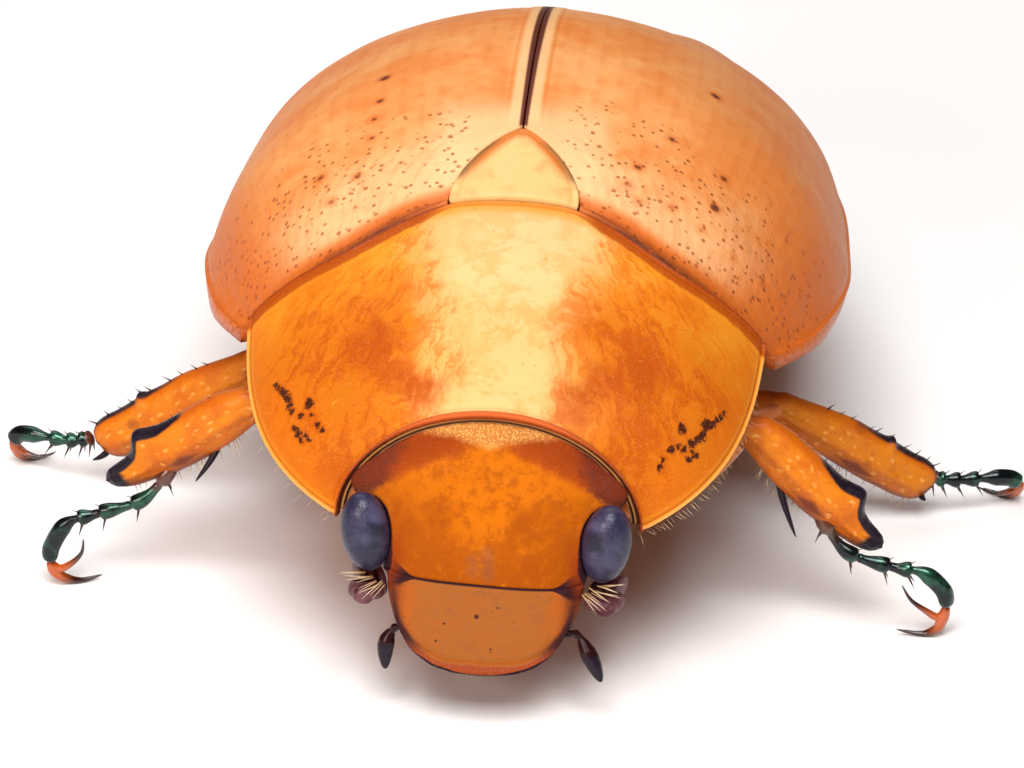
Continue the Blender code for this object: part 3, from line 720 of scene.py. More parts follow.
        # Band along the hind edge: gold and amber colour, then painted shadow of the join with the wing
        # cases, at the sides and along the edge.
        uneven_hind = hind + (fringe - 0.5) * 0.16
        paint.lay(uneven_hind.ramp(0.6, 0.25) * 0.75, self.gold)
        paint.lay(uneven_hind.ramp(0.24, 0.14) * 0.6, self.amber)
        paint.lay((uneven_hind - aside * 0.3).ramp(0.16, 0.04) * aside * 0.95, self.deep)
        paint.lay((hind - aside * 0.05).ramp(0.08, 0.03) * 0.85, self.rust)
        lip = paint.mark("lip")
        rim = paint.blend(abs(x).ramp(0.6, 2.6) * 0.65, self.red, self.rust)
        paint.lay((lip + (fringe - 0.5) * 0.25).ramp(1.08, 0.92), rim)
        paint.lay(lip.ramp(0.3, 0.0) * 0.8, self.rust)
        ragged = (paint.noise(8.0, 4.0, 0.7) - 0.5) * 0.22
        scribble = paint.spots(self.scribble_right + self.scribble_left, paint.warped(5.0, 0.22)) + ragged
        paint.lay(scribble.ramp(0.12, 0.02) * 0.4, self.deep)
        paint.lay(scribble.ramp(0.05, 0.0), self.ink)
        distance, chance = paint.cells(3.4)
        pit = distance.ramp(0.16, 0.06) * chance.ramp(0.45, 0.7)
        paint.lay(pit * 0.25, self.deep)
        grain = paint.noise(20.0, 3.0, 0.7)
        paint.lay(grain.ramp(0.5, 0.75) * 0.14 * flank, self.cream)
        paint.feed("Roughness", 0.46 - 0.14 * edge.ramp(0.35, 0.12) - 0.05 * marble)
        paint.relief(grain * 0.005 - pit * 0.01 - scribble.ramp(0.02, -0.04) * 0.012 + mottle * 0.03)
        return paint.done()


@dataclass(frozen=True)
class WingFinish:
    """Satin peach shell with a brown suture, pale bands beside it and brown pits near the base; painted
    highlights near the base and beside the scutellum, painted shade on the left wing case and along the
    base.
    """

    tan: Colour = (0.68, 0.215, 0.048)
    peach: Colour = (0.74, 0.345, 0.12)
    amber: Colour = (0.53, 0.108, 0.010)
    cream: Colour = (0.79, 0.51, 0.25)
    brown: Colour = (0.10, 0.022, 0.012)
    rust: Colour = (0.23, 0.045, 0.010)
    big_pits: Spots = (
        (-4.17, -2.97, 8.12, 0.085), (-3.34, -3.38, 8.38, 0.065), (-3.84, -3.92, 8.04, 0.07),
        (-3.11, 0.19, 8.93, 0.11), (-3.12, -0.82, 8.89, 0.07), (-3.18, -1.50, 8.79, 0.05),
        (-3.15, -2.21, 8.69, 0.045), (4.09, -3.37, 8.06, 0.11), (2.46, -3.03, 8.72, 0.065),
        (3.21, -3.87, 8.30, 0.065), (3.08, -1.76, 8.79, 0.065), (4.21, -2.29, 8.21, 0.075),
        (3.82, 0.89, 8.56, 0.11), (3.87, -4.16, 7.93, 0.045), (4.53, -4.31, 7.40, 0.05),
        (5.22, -4.17, 6.75, 0.05), (2.27, -3.59, 8.63, 0.05), (2.55, -4.0, 8.44, 0.045))
    small_pits: Rows = ((2.3, 0.17, 0.45), (3.4, 0.24, 0.3), (5.2, 0.3, 0.2))

    def make(self) -> bpy.types.Material:
        """Paints the material.

        Returns:
            The material.
        """
        paint = Paint("elytra_tan", self.peach, 0.42, 0.14)
        inner, outer, base = (paint.mark(n) for n in ("from_side", "from_rim", "from_front"))
        y, half = paint.axis("Y"), abs(paint.axis("X"))
        broad = paint.noise(0.5, 3.0, 0.55, 0.4)
        fine = paint.noise(2.2, 5.0, 0.6)
        paint.lay((broad + (fine - 0.5) * 0.5).ramp(0.2, 0.75), self.tan)
        # Painted highlight: pale cream near the base.
        light = (base + (broad - 0.5) * 3.0).ramp(3.2, 0.9) * base.ramp(0.35, 0.9) * outer.ramp(1.0, 2.4)
        paint.lay(light * 0.65, self.cream)
        low = (outer + (broad - 0.5) * 1.6).ramp(3.2, 0.8) * (y + fine).ramp(2.5, -2.5)
        paint.lay(low * 0.8, self.amber)
        # Painted shade: the beetle's left side (+X) darkened toward its edge.
        paint.lay(paint.axis("X").ramp(1.5, 5.5) * 0.3, self.amber)
        stripes = (paint.mark("across") * 150.0).sine()
        paint.lay(stripes.ramp(0.0, 1.0) * 0.16 * fine.ramp(0.35, 0.6), self.amber)
        behind = (y + 2.3).ramp(-0.1, 0.5)
        band = inner.ramp(0.34, 0.24) * behind
        paint.lay(band * 0.65, self.cream)
        line = abs(inner - 0.37).ramp(0.06, 0.0) * behind
        paint.lay(line * 0.3, self.amber)
        # Painted highlight: pale cream beside the scutellum.
        beside = (half + (fine - 0.5) * 0.6).ramp(2.1, 1.4) * (y + 1.7).ramp(0.8, -0.6)
        paint.lay(beside * 0.65, self.cream)
        start = base + (fine - 0.5) * 0.3 + half.ramp(1.6, 2.6) * half.ramp(5.0, 3.0) * -0.12
        paint.lay(start.ramp(0.75, 0.25) * 0.9, self.amber)
        # Painted shadow where the base meets the pronotum: rust, then brown at the edge.
        paint.lay(start.ramp(0.32, 0.1) * half.ramp(1.3, 1.9) * 0.7, self.rust)
        paint.lay(start.ramp(0.04, -0.06) * 0.85, self.brown)
        paint.lay(outer.ramp(0.24, 0.15) * 0.45, self.amber)
        suture = (inner - (y * 0.01).least(0.015) - 0.1).ramp(0.03, -0.03) * (y + 2.3).ramp(-0.05, 0.08)
        paint.lay(suture, self.brown)
        near_base = (base + (broad - 0.5) * 3.0).ramp(5.0, 1.6) * half.ramp(0.7, 1.3)
        pits = None
        shaken = paint.warped(2.0, 0.1)
        for scale, size, share in self.small_pits:
            distance, chance = paint.cells(scale, shaken)
            dot = distance.ramp(size, size * 0.2) * (chance + near_base * 0.5).ramp(share + 0.4, share + 0.5)
            dot = dot * near_base.ramp(0.05, 0.35)
            pits = dot if pits is None else pits.most(dot)
        big = paint.spots(self.big_pits, paint.warped(5.0, 0.05))
        paint.lay(big.ramp(0.2, 0.0) * 0.45 + pits * 0.55, self.amber)
        paint.lay((pits * 0.6).most(big.ramp(0.05, -0.03)) * 0.75, self.rust)
        paint.lay(big.ramp(-0.01, -0.06) * 0.8, self.brown)
        paint.feed("Roughness", 0.42 + 0.08 * broad - 0.14 * outer.ramp(0.3, 0.15))
        dents = paint.noise(3.0, 2.0) * 0.05 * near_base
        height = paint.noise(12.0, 3.0) * 0.0045 + fine * 0.02 + stripes * 0.002 - pits * 0.028 + dents
        paint.relief(height - big.ramp(0.03, -0.04) * 0.03)
        return paint.done()


@dataclass(frozen=True)
class ShieldFinish:
    """Pale yellow scutellum with an orange rim that darkens to green at its sides."""

    yellow: Colour = (0.78, 0.46, 0.165)
    orange: Colour = (0.60, 0.16, 0.018)
    olive: Colour = (0.11, 0.063, 0.010)

    def make(self) -> bpy.types.Material:
        """Paints the material.

        Returns:
            The material.
        """
        paint = Paint("scutellum_cream", self.yellow, 0.35, 0.25)
        y = paint.axis("Y")
        edge = paint.mark("from_side").least(paint.mark("from_hind"))
        cloud = paint.noise(1.6, 5.0, 0.6, 0.8)
        paint.lay(cloud.ramp(0.45, 0.75) * 0.4, self.orange)
        tip = (edge + (cloud - 0.5) * 0.2).ramp(0.5, 0.2) * (y + 3.8).ramp(-0.3, 0.5)
        paint.lay(tip * 0.95, self.orange)
        dark = edge.ramp(0.24, 0.03) * (y + 3.9).ramp(-0.2, 0.2) * (1.0 - (y + 2.9).ramp(0.0, 0.3) * 0.7)
        paint.lay(dark * 0.85, self.olive)
        paint.relief(paint.noise(14.0, 3.0) * 0.004 + cloud * 0.02)
        return paint.done()


@dataclass(frozen=True)
class HeadFinish:
    """Granular amber head: red-brown bands over the forehead, a dark suture and a pink front rim; painted
    shade round the eyes, at the low sides and on the parts that face down.
    """

    amber: Colour = (0.52, 0.130, 0.002)
    shade: Colour = (0.30, 0.063, 0.002)
    band: Colour = (0.25, 0.036, 0.004)
    gold: Colour = (0.80, 0.42, 0.11)
    clay: Colour = (0.30, 0.096, 0.020)
    flame: Colour = (0.45, 0.085, 0.007)
    pink: Colour = (0.40, 0.115, 0.070)
    smoke: Colour = (0.165, 0.07, 0.038)
    violet: Colour = (0.018, 0.007, 0.013)
    blotches: Spots = ((-0.92, -10.47, 4.25, 0.26), (0.79, -10.48, 4.25, 0.30), (-1.5, -10.35, 4.0, 0.2),
                       (1.5, -10.4, 3.9, 0.2), (-0.8, -10.7, 3.6, 0.2), (1.0, -10.75, 3.5, 0.2))
    stripes: Spots = ((-0.24, -10.78, 3.54, 0.03), (-0.22, -10.82, 3.42, 0.04), (-0.23, -10.86, 3.30, 0.04),
                      (0.05, -10.73, 3.68, 0.05), (0.06, -10.78, 3.54, 0.06), (0.08, -10.82, 3.41, 0.06),
                      (0.09, -10.87, 3.28, 0.05))
    specks: Spots = ((-0.11, -11.17, 2.47, 0.04), (0.32, -11.1, 2.66, 0.02), (-0.75, -11.22, 2.3, 0.02),
                     (-0.9, -11.32, 1.95, 0.02), (0.2, -11.36, 1.85, 0.02), (0.85, -11.12, 2.72, 0.015))

    def make(self) -> bpy.types.Material:
        """Paints the material.

        Returns:
            The material.
        """
        paint = Paint("head_amber", self.amber, 0.44, 0.035)
        x, z = paint.axis("X"), paint.axis("Z")
        half = abs(x)
        broad = paint.noise(0.9, 4.0, 0.65, 0.3)
        fine = paint.noise(5.0, 5.0, 0.7)
        dust, chance = paint.cells(4.2)
        grains, lot = paint.cells(21.0, paint.warped(7.0, 0.06))
        grain = grains.ramp(0.6, 0.1) * (0.4 + lot * 0.6)
        below, rim = paint.mark("suture"), paint.mark("rim")
        top = z - (5.55 - 0.29 * half ** 1.4) + (fine - 0.5) * 0.2
        shade = (broad + (fine - 0.5) * 0.9).ramp(0.44, 0.68)
        paint.lay(shade * 0.6, self.shade)
        blotch = paint.spots(self.blotches, paint.warped(2.0, 0.7)).ramp(0.35, -0.15)
        paint.lay(blotch * (0.3 + fine * 0.8), self.shade)
        paint.lay(fine.ramp(0.45, 0.7) * 0.42, self.shade)
        sides = half.ramp(0.6, 1.7) * z.ramp(5.3, 4.3) * 0.6
        paint.lay(sides * (0.5 + fine), self.shade)
        lower = (z - half * 0.3).ramp(4.3, 2.9) * 0.95
        paint.lay(lower * fine.ramp(0.2, 0.5), self.shade)
        stripe = paint.spots(self.stripes, paint.warped(4.0, 0.12)).ramp(0.18, -0.06)
        paint.lay(stripe * 0.45, self.smoke)
        band = top.ramp(-0.08, 0.16) * (half + (fine - 0.5) * 0.4).ramp(0.1, 0.75)
        warm = paint.blend(top.ramp(0.5, 0.0) * 0.5 + grain * 0.3, self.band, self.flame)
        paint.lay(band * 0.95, warm)
        crown = (z - (5.56 + half * 0.35 - half * half * 0.14) + (fine - 0.5) * 0.2).ramp(-0.08, 0.1)
        paint.lay(crown * (0.6 + grain * 0.4), self.gold)
        temple = (half + z * 0.4 + (fine - 0.5) * 0.5).ramp(3.75, 4.15) * top.ramp(-0.1, 0.1)
        paint.lay(temple * 0.8, paint.blend(grain * 0.45, self.violet, self.pink))
        pores = grains.ramp(0.25, 0.6) * top.ramp(0.0, 0.2)
        paint.lay(pores * 0.5, self.band)
        clypeus = below.ramp(-0.01, 0.01)
        streak = paint.noise(3.0, 4.0, 0.6, 0.0, paint.vector("MULTIPLY", paint.place, (1.0, 4.0, 4.0)))
        plate = paint.blend((half.ramp(1.0, 1.9) * 0.65 + (streak - 0.5) * 1.1), self.clay, self.flame)
        plate = paint.blend(fine.ramp(0.5, 0.72) * 0.45, plate, self.smoke)
        plate = paint.blend((half + (fine - 0.5) * 0.4).ramp(1.45, 1.9) * 0.65, plate, self.violet)
        paint.lay(clypeus, plate)
        speck = paint.spots(self.specks, paint.warped(8.0, 0.04)).ramp(0.02, -0.01)
        dots = dust.ramp(0.16, 0.04) * chance.ramp(0.4, 0.7) * clypeus * 0.5
        paint.lay(speck.most(dots) * 0.85, self.violet)
        ragged = rim + (fine - 0.5) * 0.09
        lip = ragged.ramp(0.13, 0.08) * z.ramp(2.0, 1.7)
        paint.lay(lip * 0.9, paint.blend(0.1 + grain * 0.8, self.band, self.pink))
        paint.lay(abs(ragged - 0.16).ramp(0.05, 0.0) * z.ramp(2.0, 1.8) * 0.7, self.shade)
        border = ragged.ramp(0.21, 0.1) * z.ramp(1.6, 1.95) * clypeus
        paint.lay(border * 0.93, self.violet)
        # Painted shade: violet on the parts that face down and on the back of the clypeus beside the eyes.
        under = paint.mark("under").ramp(0.0, 0.05)
        paint.lay(under, self.violet)
        # The dark suture line, widened at the sides into painted shade between head and eyes.
        corner = half.ramp(1.35, 1.95) * 0.3 + 0.026
        seam = (abs(below) / corner).ramp(1.15, 0.7)
        paint.lay(seam * 0.95, self.violet)
        eye = paint.mark("eye") + (fine - 0.5) * 0.08
        # Painted shade round the eye sockets: band colour, then a violet ring.
        paint.lay(eye.ramp(0.5, 0.1) * z.ramp(4.3, 3.4) * 0.85, self.band)
        paint.lay((eye - z.ramp(3.9, 3.2) * 0.09).ramp(0.075, 0.035) * 0.95, self.violet)
        paint.feed("Roughness", 0.46 - 0.1 * seam - 0.12 * under)
        height = grain * 0.005 + paint.noise(24.0, 2.0) * 0.004 + fine * 0.015 - speck * 0.012
        paint.relief(height + grain * 0.012 * (top.ramp(-0.05, 0.15) + lip))
        return paint.done()


@dataclass(frozen=True)
class EyeFinish:
    """Slate compound eye with fine facets, a painted highlight patch, a dark patch and a painted sheen at
    its outline.
    """

    slate: Colour = (0.016, 0.015, 0.042)
    haze: Colour = (0.085, 0.08, 0.15)
    night: Colour = (0.005, 0.005, 0.015)
    # Places of the painted highlights near the top of the eyes.
    pale: Spots = ((-2.17, -10.70, 4.42, 0.10), (2.20, -10.70, 4.38, 0.10))
    dark: Spots = ((-2.16, -10.82, 4.12, 0.10), (2.16, -10.82, 4.10, 0.12), (-2.2, -10.8, 3.75, 0.06))

    def make(self) -> bpy.types.Material:
        """Paints the material.

        Returns:
            The material.
        """
        paint = Paint("eye_slate", self.slate, 0.32, 0.3, 0.06)
        cloud = paint.noise(1.5, 5.0, 0.65, 0.4)
        dust = paint.noise(16.0, 4.0, 0.8)
        pushed = paint.warped(2.5, 0.35)
        paint.lay(cloud.ramp(0.42, 0.7) * 0.5, self.haze)
        # Painted highlight: pale patches near the top of each eye.
        paint.lay(paint.spots(self.pale, pushed).ramp(0.22, -0.1) * 0.8, self.haze)
        paint.lay(paint.spots(self.dark, pushed).ramp(0.2, -0.05) * 0.85, self.night)
        paint.lay(dust.ramp(0.58, 0.72) * 0.5, self.haze)
        paint.lay(dust.ramp(0.45, 0.33) * 0.5, self.night)
        # Painted sheen: haze where the eye's surface turns away from the view.
        facing = paint.node("ShaderNodeLayerWeight", None, {"Blend": 0.25})
        outline = Value(paint, facing.outputs["Facing"]).ramp(0.45, 0.9)
        paint.lay(outline * 0.5, self.haze)
        facets, _ = paint.cells(26.0)
        paint.relief(facets.ramp(0.55, 0.0) * 0.005)
        return paint.done()


@dataclass(frozen=True)
class NeckFinish:
    """Neck skin with golden folds between dark lines."""

    gold: Colour = (0.45, 0.20, 0.05)
    dark: Colour = (0.05, 0.012, 0.005)

    def make(self) -> bpy.types.Material:
        """Paints the material.

        Returns:
            The material.
        """
        paint = Paint("neck_gold", self.dark, 0.45, 0.2)
        fold = (paint.mark("across") * 7.0 + paint.noise(3.0, 3.0) * 1.5).sine()
        paint.lay(fold.ramp(-0.3, 0.5), self.gold)
        paint.relief(fold * 0.02)
        return paint.done()


@dataclass(frozen=True)
class ShinFinish:
    """Glossy orange shin with rows of golden pits partly painted as glints, a blackish upper edge, a lower
    facet in painted shade and a painted shadow in a hollow below.
    """

    name: str
    black_from: float
    black_width: float
    spots: float = 0.0
    orange: Colour = (0.63, 0.180, 0.002)
    deep: Colour = (0.46, 0.080, 0.002)
    pit_gold_and_glint: Colour = (0.80, 0.37, 0.07)
    ink: Colour = (0.010, 0.005, 0.012)
    maroon: Colour = (0.10, 0.010, 0.004)

    def make(self) -> bpy.types.Material:
        """Paints the material.

        Returns:
            The material.
        """
        paint = Paint(self.name, self.orange, 0.3, 0.2, 0.05)
        along, upper, lower = (paint.mark(n) for n in ("along", "upper", "lower"))
        cloud = paint.noise(1.3, 4.0, 0.6)
        paint.lay(cloud.ramp(0.42, 0.68) * 0.6, self.deep)
        middle = upper.least(lower)
        paint.lay(middle.ramp(0.16, 0.03) * 0.6, self.deep)
        # Painted shade: the lower facet darker than the upper.
        facet = upper / (upper + lower)
        paint.lay(facet.ramp(0.5, 0.62) * 0.45, self.deep)
        fine = paint.noise(7.0, 4.0, 0.7)
        place = paint.joined(along * 17.0 + fine, upper * 7.0 + fine * 0.6)
        distance, chance = paint.cells(1.0, place)
        pit = distance.ramp(0.42, 0.08) * chance.ramp(0.1, 0.3) * middle.ramp(0.1, 0.22)
        paint.lay(fine.ramp(0.5, 0.72) * 0.5, self.deep)
        # Golden pits, partly painted glints.
        paint.lay(pit * 0.7, self.pit_gold_and_glint)
        spot, chosen = paint.cells(1.6)
        paint.lay(spot.ramp(0.3, 0.16) * chosen.ramp(0.5, 0.6) * self.spots, self.maroon)
        # Painted shadow in a hollow below; the stripe is the dark lower edge.
        hollow = (abs(along - 0.5) * 5.0 + abs(lower - 0.26) * 5.0 + cloud * 0.8).ramp(1.4, 0.7)
        stripe = (lower + (cloud - 0.5) * 0.15).ramp(0.24, 0.12) * along.ramp(0.25, 0.45)
        paint.lay(hollow.most(stripe * 0.8) * 0.85, self.maroon)
        reach = along.ramp(0.3, 0.7)
        black = (upper + (cloud - 0.5) * 0.06 - reach * self.black_width).ramp(0.03, -0.02)
        black = black * reach.ramp(0.02, 0.2)
        black = black.most((along + (cloud - 0.5) * 0.08).ramp(self.black_from, self.black_from + 0.05))
        paint.lay(black, self.ink)
        paint.feed("Roughness", 0.3 + 0.12 * cloud - 0.08 * black)
        ridge = facet.ramp(0.35, 0.5) * facet.ramp(0.75, 0.55) * 0.05
        paint.relief(fine * 0.04 - pit * 0.014 + cloud * 0.03 + ridge)
        return paint.done()


@dataclass(frozen=True)
class ShellFinish:
    """Plain shell: one colour clouded by a darker one, with fine pits."""

    name: str
    base: Colour
    dark: Colour
    roughness: float = 0.35
    specular: float = 0.5
    coat: float = 0.1
    cloud_scale: float = 1.2
    pits_per_mm: float = 5.0

    def make(self) -> bpy.types.Material:
        """Paints the material.

        Returns:
            The material.
        """
        paint = Paint(self.name, self.base, self.roughness, self.specular, self.coat)
        cloud = paint.noise(self.cloud_scale, 5.0, 0.6, 0.5)
        distance, chance = paint.cells(self.pits_per_mm)
        pit = distance.ramp(0.28, 0.08) * chance.ramp(0.4, 0.5)
        paint.lay(cloud.ramp(0.4, 0.65), self.dark)
        paint.lay(pit * 0.4, self.dark)
        paint.feed("Roughness", self.roughness + (cloud - 0.5) * 0.2)
        paint.relief(paint.noise(14.0, 3.0) * 0.004 - pit * 0.01 + cloud * 0.02)
        return paint.done()


@dataclass(frozen=True)
class PalpFinish:
    """Nearly black palp with a dark red tip, and a painted sheen that follows the view: a violet face
    between green streaks.
    """

    red: Colour = (0.018, 0.0024, 0.003)
    violet: Colour = (0.0132, 0.0072, 0.0156)
    green: Colour = (0.0072, 0.042, 0.012)

    def make(self) -> bpy.types.Material:
        """Paints the material.

        Returns:
            The material.
        """
        paint = Paint("palp_dark", self.red, 0.26, 0.22)
        # Painted sheen: violet where the spindle faces the view, green streaks where it turns away.
        facing = paint.node("ShaderNodeLayerWeight", None, {"Blend": 0.3})
        turned = Value(paint, facing.outputs["Facing"])
        z = paint.axis("Z")
        spindle = z.ramp(1.62, 1.5) * z.ramp(1.02, 1.12)
        paint.lay(turned.ramp(0.45, 0.2) * spindle, self.violet)
        paint.lay(abs(turned - 0.42).ramp(0.16, 0.02) * spindle * 0.7, self.green)
        return paint.done()


@dataclass(frozen=True)
class FootFinish:
    """Dark metallic green foot whose first joint is reddish brown."""

    green: Colour = (0.012, 0.078, 0.045)
    black: Colour = (0.0024, 0.0072, 0.0096)
    brown: Colour = (0.096, 0.021, 0.0084)

    def make(self) -> bpy.types.Material:
        """Paints the material.

        Returns:
            The material.
        """
        paint = Paint("tarsus_green", self.green, 0.25, 0.6, 0.3)
        along = paint.mark("along")
        cloud = paint.noise(2.2, 4.0, 0.6)
        paint.lay(cloud.ramp(0.38, 0.55), self.black)
        paint.lay(along.ramp(0.17, 0.11) * 0.85, self.brown)
        paint.feed("Metallic", 0.65 * along.ramp(0.1, 0.2))
        paint.relief(paint.noise(10.0, 3.0) * 0.006)
        return paint.done()


@dataclass(frozen=True)
class ClawFinish:
    """Orange-red claw that darkens to its tip."""

    flame: Colour = (0.44, 0.080, 0.009)
    dark: Colour = (0.022, 0.006, 0.004)

    def make(self) -> bpy.types.Material:
        """Paints the material.

        Returns:
            The material.
        """
        paint = Paint("claw_red", self.flame, 0.22, 0.55, 0.4)
        cloud = paint.noise(3.0, 3.0)
        paint.lay((paint.mark("along") + (cloud - 0.5) * 0.2).ramp(0.3, 0.7), self.dark)
        return paint.done()


@dataclass(frozen=True)
class BristleFinish:
    """Plain glossy hair."""

    name: str
    root: Colour
    tip: Colour
    roughness: float = 0.4

    def make(self) -> bpy.types.Material:
        """Paints the material.

        Returns:
            The material.
        """
        paint = Paint(self.name, self.root, self.roughness)
        paint.lay(paint.mark("length").ramp(0.1, 0.9), self.tip)
        return paint.done()


@dataclass
class Plate:
    """A shell plate: a curved wall with rounded and beaded edges."""

    columns: int = 120
    rows: int = 100
    wall: float = 0.4
    crowding: float = 0.8
    edge_radius: float = 0.08
    step: float = 0.002
    rimmed: bool = False  # whether the sides are told apart, as suture and rim
    marks: tuple[str, ...] = ("from_side", "from_front", "from_hind")

    def surface(self, u: float, v: float) -> Vector:
        """Point of the plain surface: u from side to side, v from front to back."""
        raise NotImplementedError

    def relief(self, point: Vector, gaps: Mapping[str, float]) -> float:
        """Height above the plain surface at a point with the given distances from the edges."""
        return -roll(min(gaps.values()), self.edge_radius)

    def gaps(self, point: Vector, u: float, v: float) -> dict[str, float]:
        """Distances from the plate's edges.

        Args:
            point: point of the plain surface.
            u: place across, 0 to 1.
            v: place along, 0 to 1.
        Returns:
            The distances by name.
        """
        near, far = (point - self.edge(0.0, v)).length, (point - self.edge(1.0, v)).length
        sides = {"from_side": near, "from_rim": far} if self.rimmed else {"from_side": min(near, far)}
        return {**sides, "from_front": (point - self.edge(u, 0.0)).length,
                "from_hind": (point - self.edge(u, 1.0)).length}

    def edge(self, u: float, v: float) -> Vector:
        """Point of the plain surface, kept for reuse.

        Args:
            u: place across, 0 to 1.
            v: place along, 0 to 1.
        Returns:
            The point.
        """
        if (u, v) not in self.kept:
            self.kept[u, v] = self.surface(u, v)
        return self.kept[u, v]

    def normal(self, u: float, v: float) -> Vector:
        """Outward direction of the plain surface.

        Args:
            u: place across, 0 to 1.
            v: place along, 0 to 1.
        Returns:
            The direction.
        """
        low_u, high_u = max(u - self.step, 0.0), min(u + self.step, 1.0)
        low_v, high_v = max(v - self.step, 0.0), min(v + self.step, 1.0)
        across = self.surface(high_u, v) - self.surface(low_u, v)
        along = self.surface(u, high_v) - self.surface(u, low_v)
        normal = across.cross(along).normalized()
        inside = self.surface(u, v) - Vector((0.0, 0.0, 2.0))
        return normal if normal.dot(inside) > 0.0 else -normal

    def mesh(self) -> BMesh:
        """Builds the closed plate.

        Returns:
            The mesh, with its distances from the edges written on it.
        """
        self.kept: dict[tuple[float, float], Vector] = {}
        bm = bmesh.new()
        layers = {name: bm.verts.layers.float.new(name) for name in self.marks}
        bmesh.ops.create_grid(bm, x_segments=self.columns, y_segments=self.rows, size=0.5)
        outer = bm.verts[:]
        bmesh.ops.extrude_face_region(bm, geom=bm.faces[:], use_keep_orig=True)
        known = set(outer)
        inner = [vert for vert in bm.verts if vert not in known]
        for verts, depth in ((outer, 0.0), (inner, self.wall)):
            for vert in verts:
                u = round(crowd(vert.co.x + 0.5, self.crowding), 6)
                v = round(crowd(vert.co.y + 0.5, self.crowding), 6)
                u, v = min(max(u, 0.0), 1.0), min(max(v, 0.0), 1.0)
                point, normal = self.surface(u, v), self.normal(u, v)
                gaps = self.gaps(point, u, v)
                rise = -depth if depth else self.relief(point, gaps)
                vert.co = point + normal * rise
                values = {**gaps, **self.extra(point, u, v)}
                for name, layer in layers.items():
                    vert[layer] = values[name]
        bmesh.ops.recalc_face_normals(bm, faces=bm.faces)
        return bm

    def extra(self, point: Vector, u: float, v: float) -> dict[str, float]:
        """More numbers to write on the vertices, by name."""
        return {}


LOBE = (1.0, 3.7)
ALONG: Marks = {"along": lambda u, v: v}


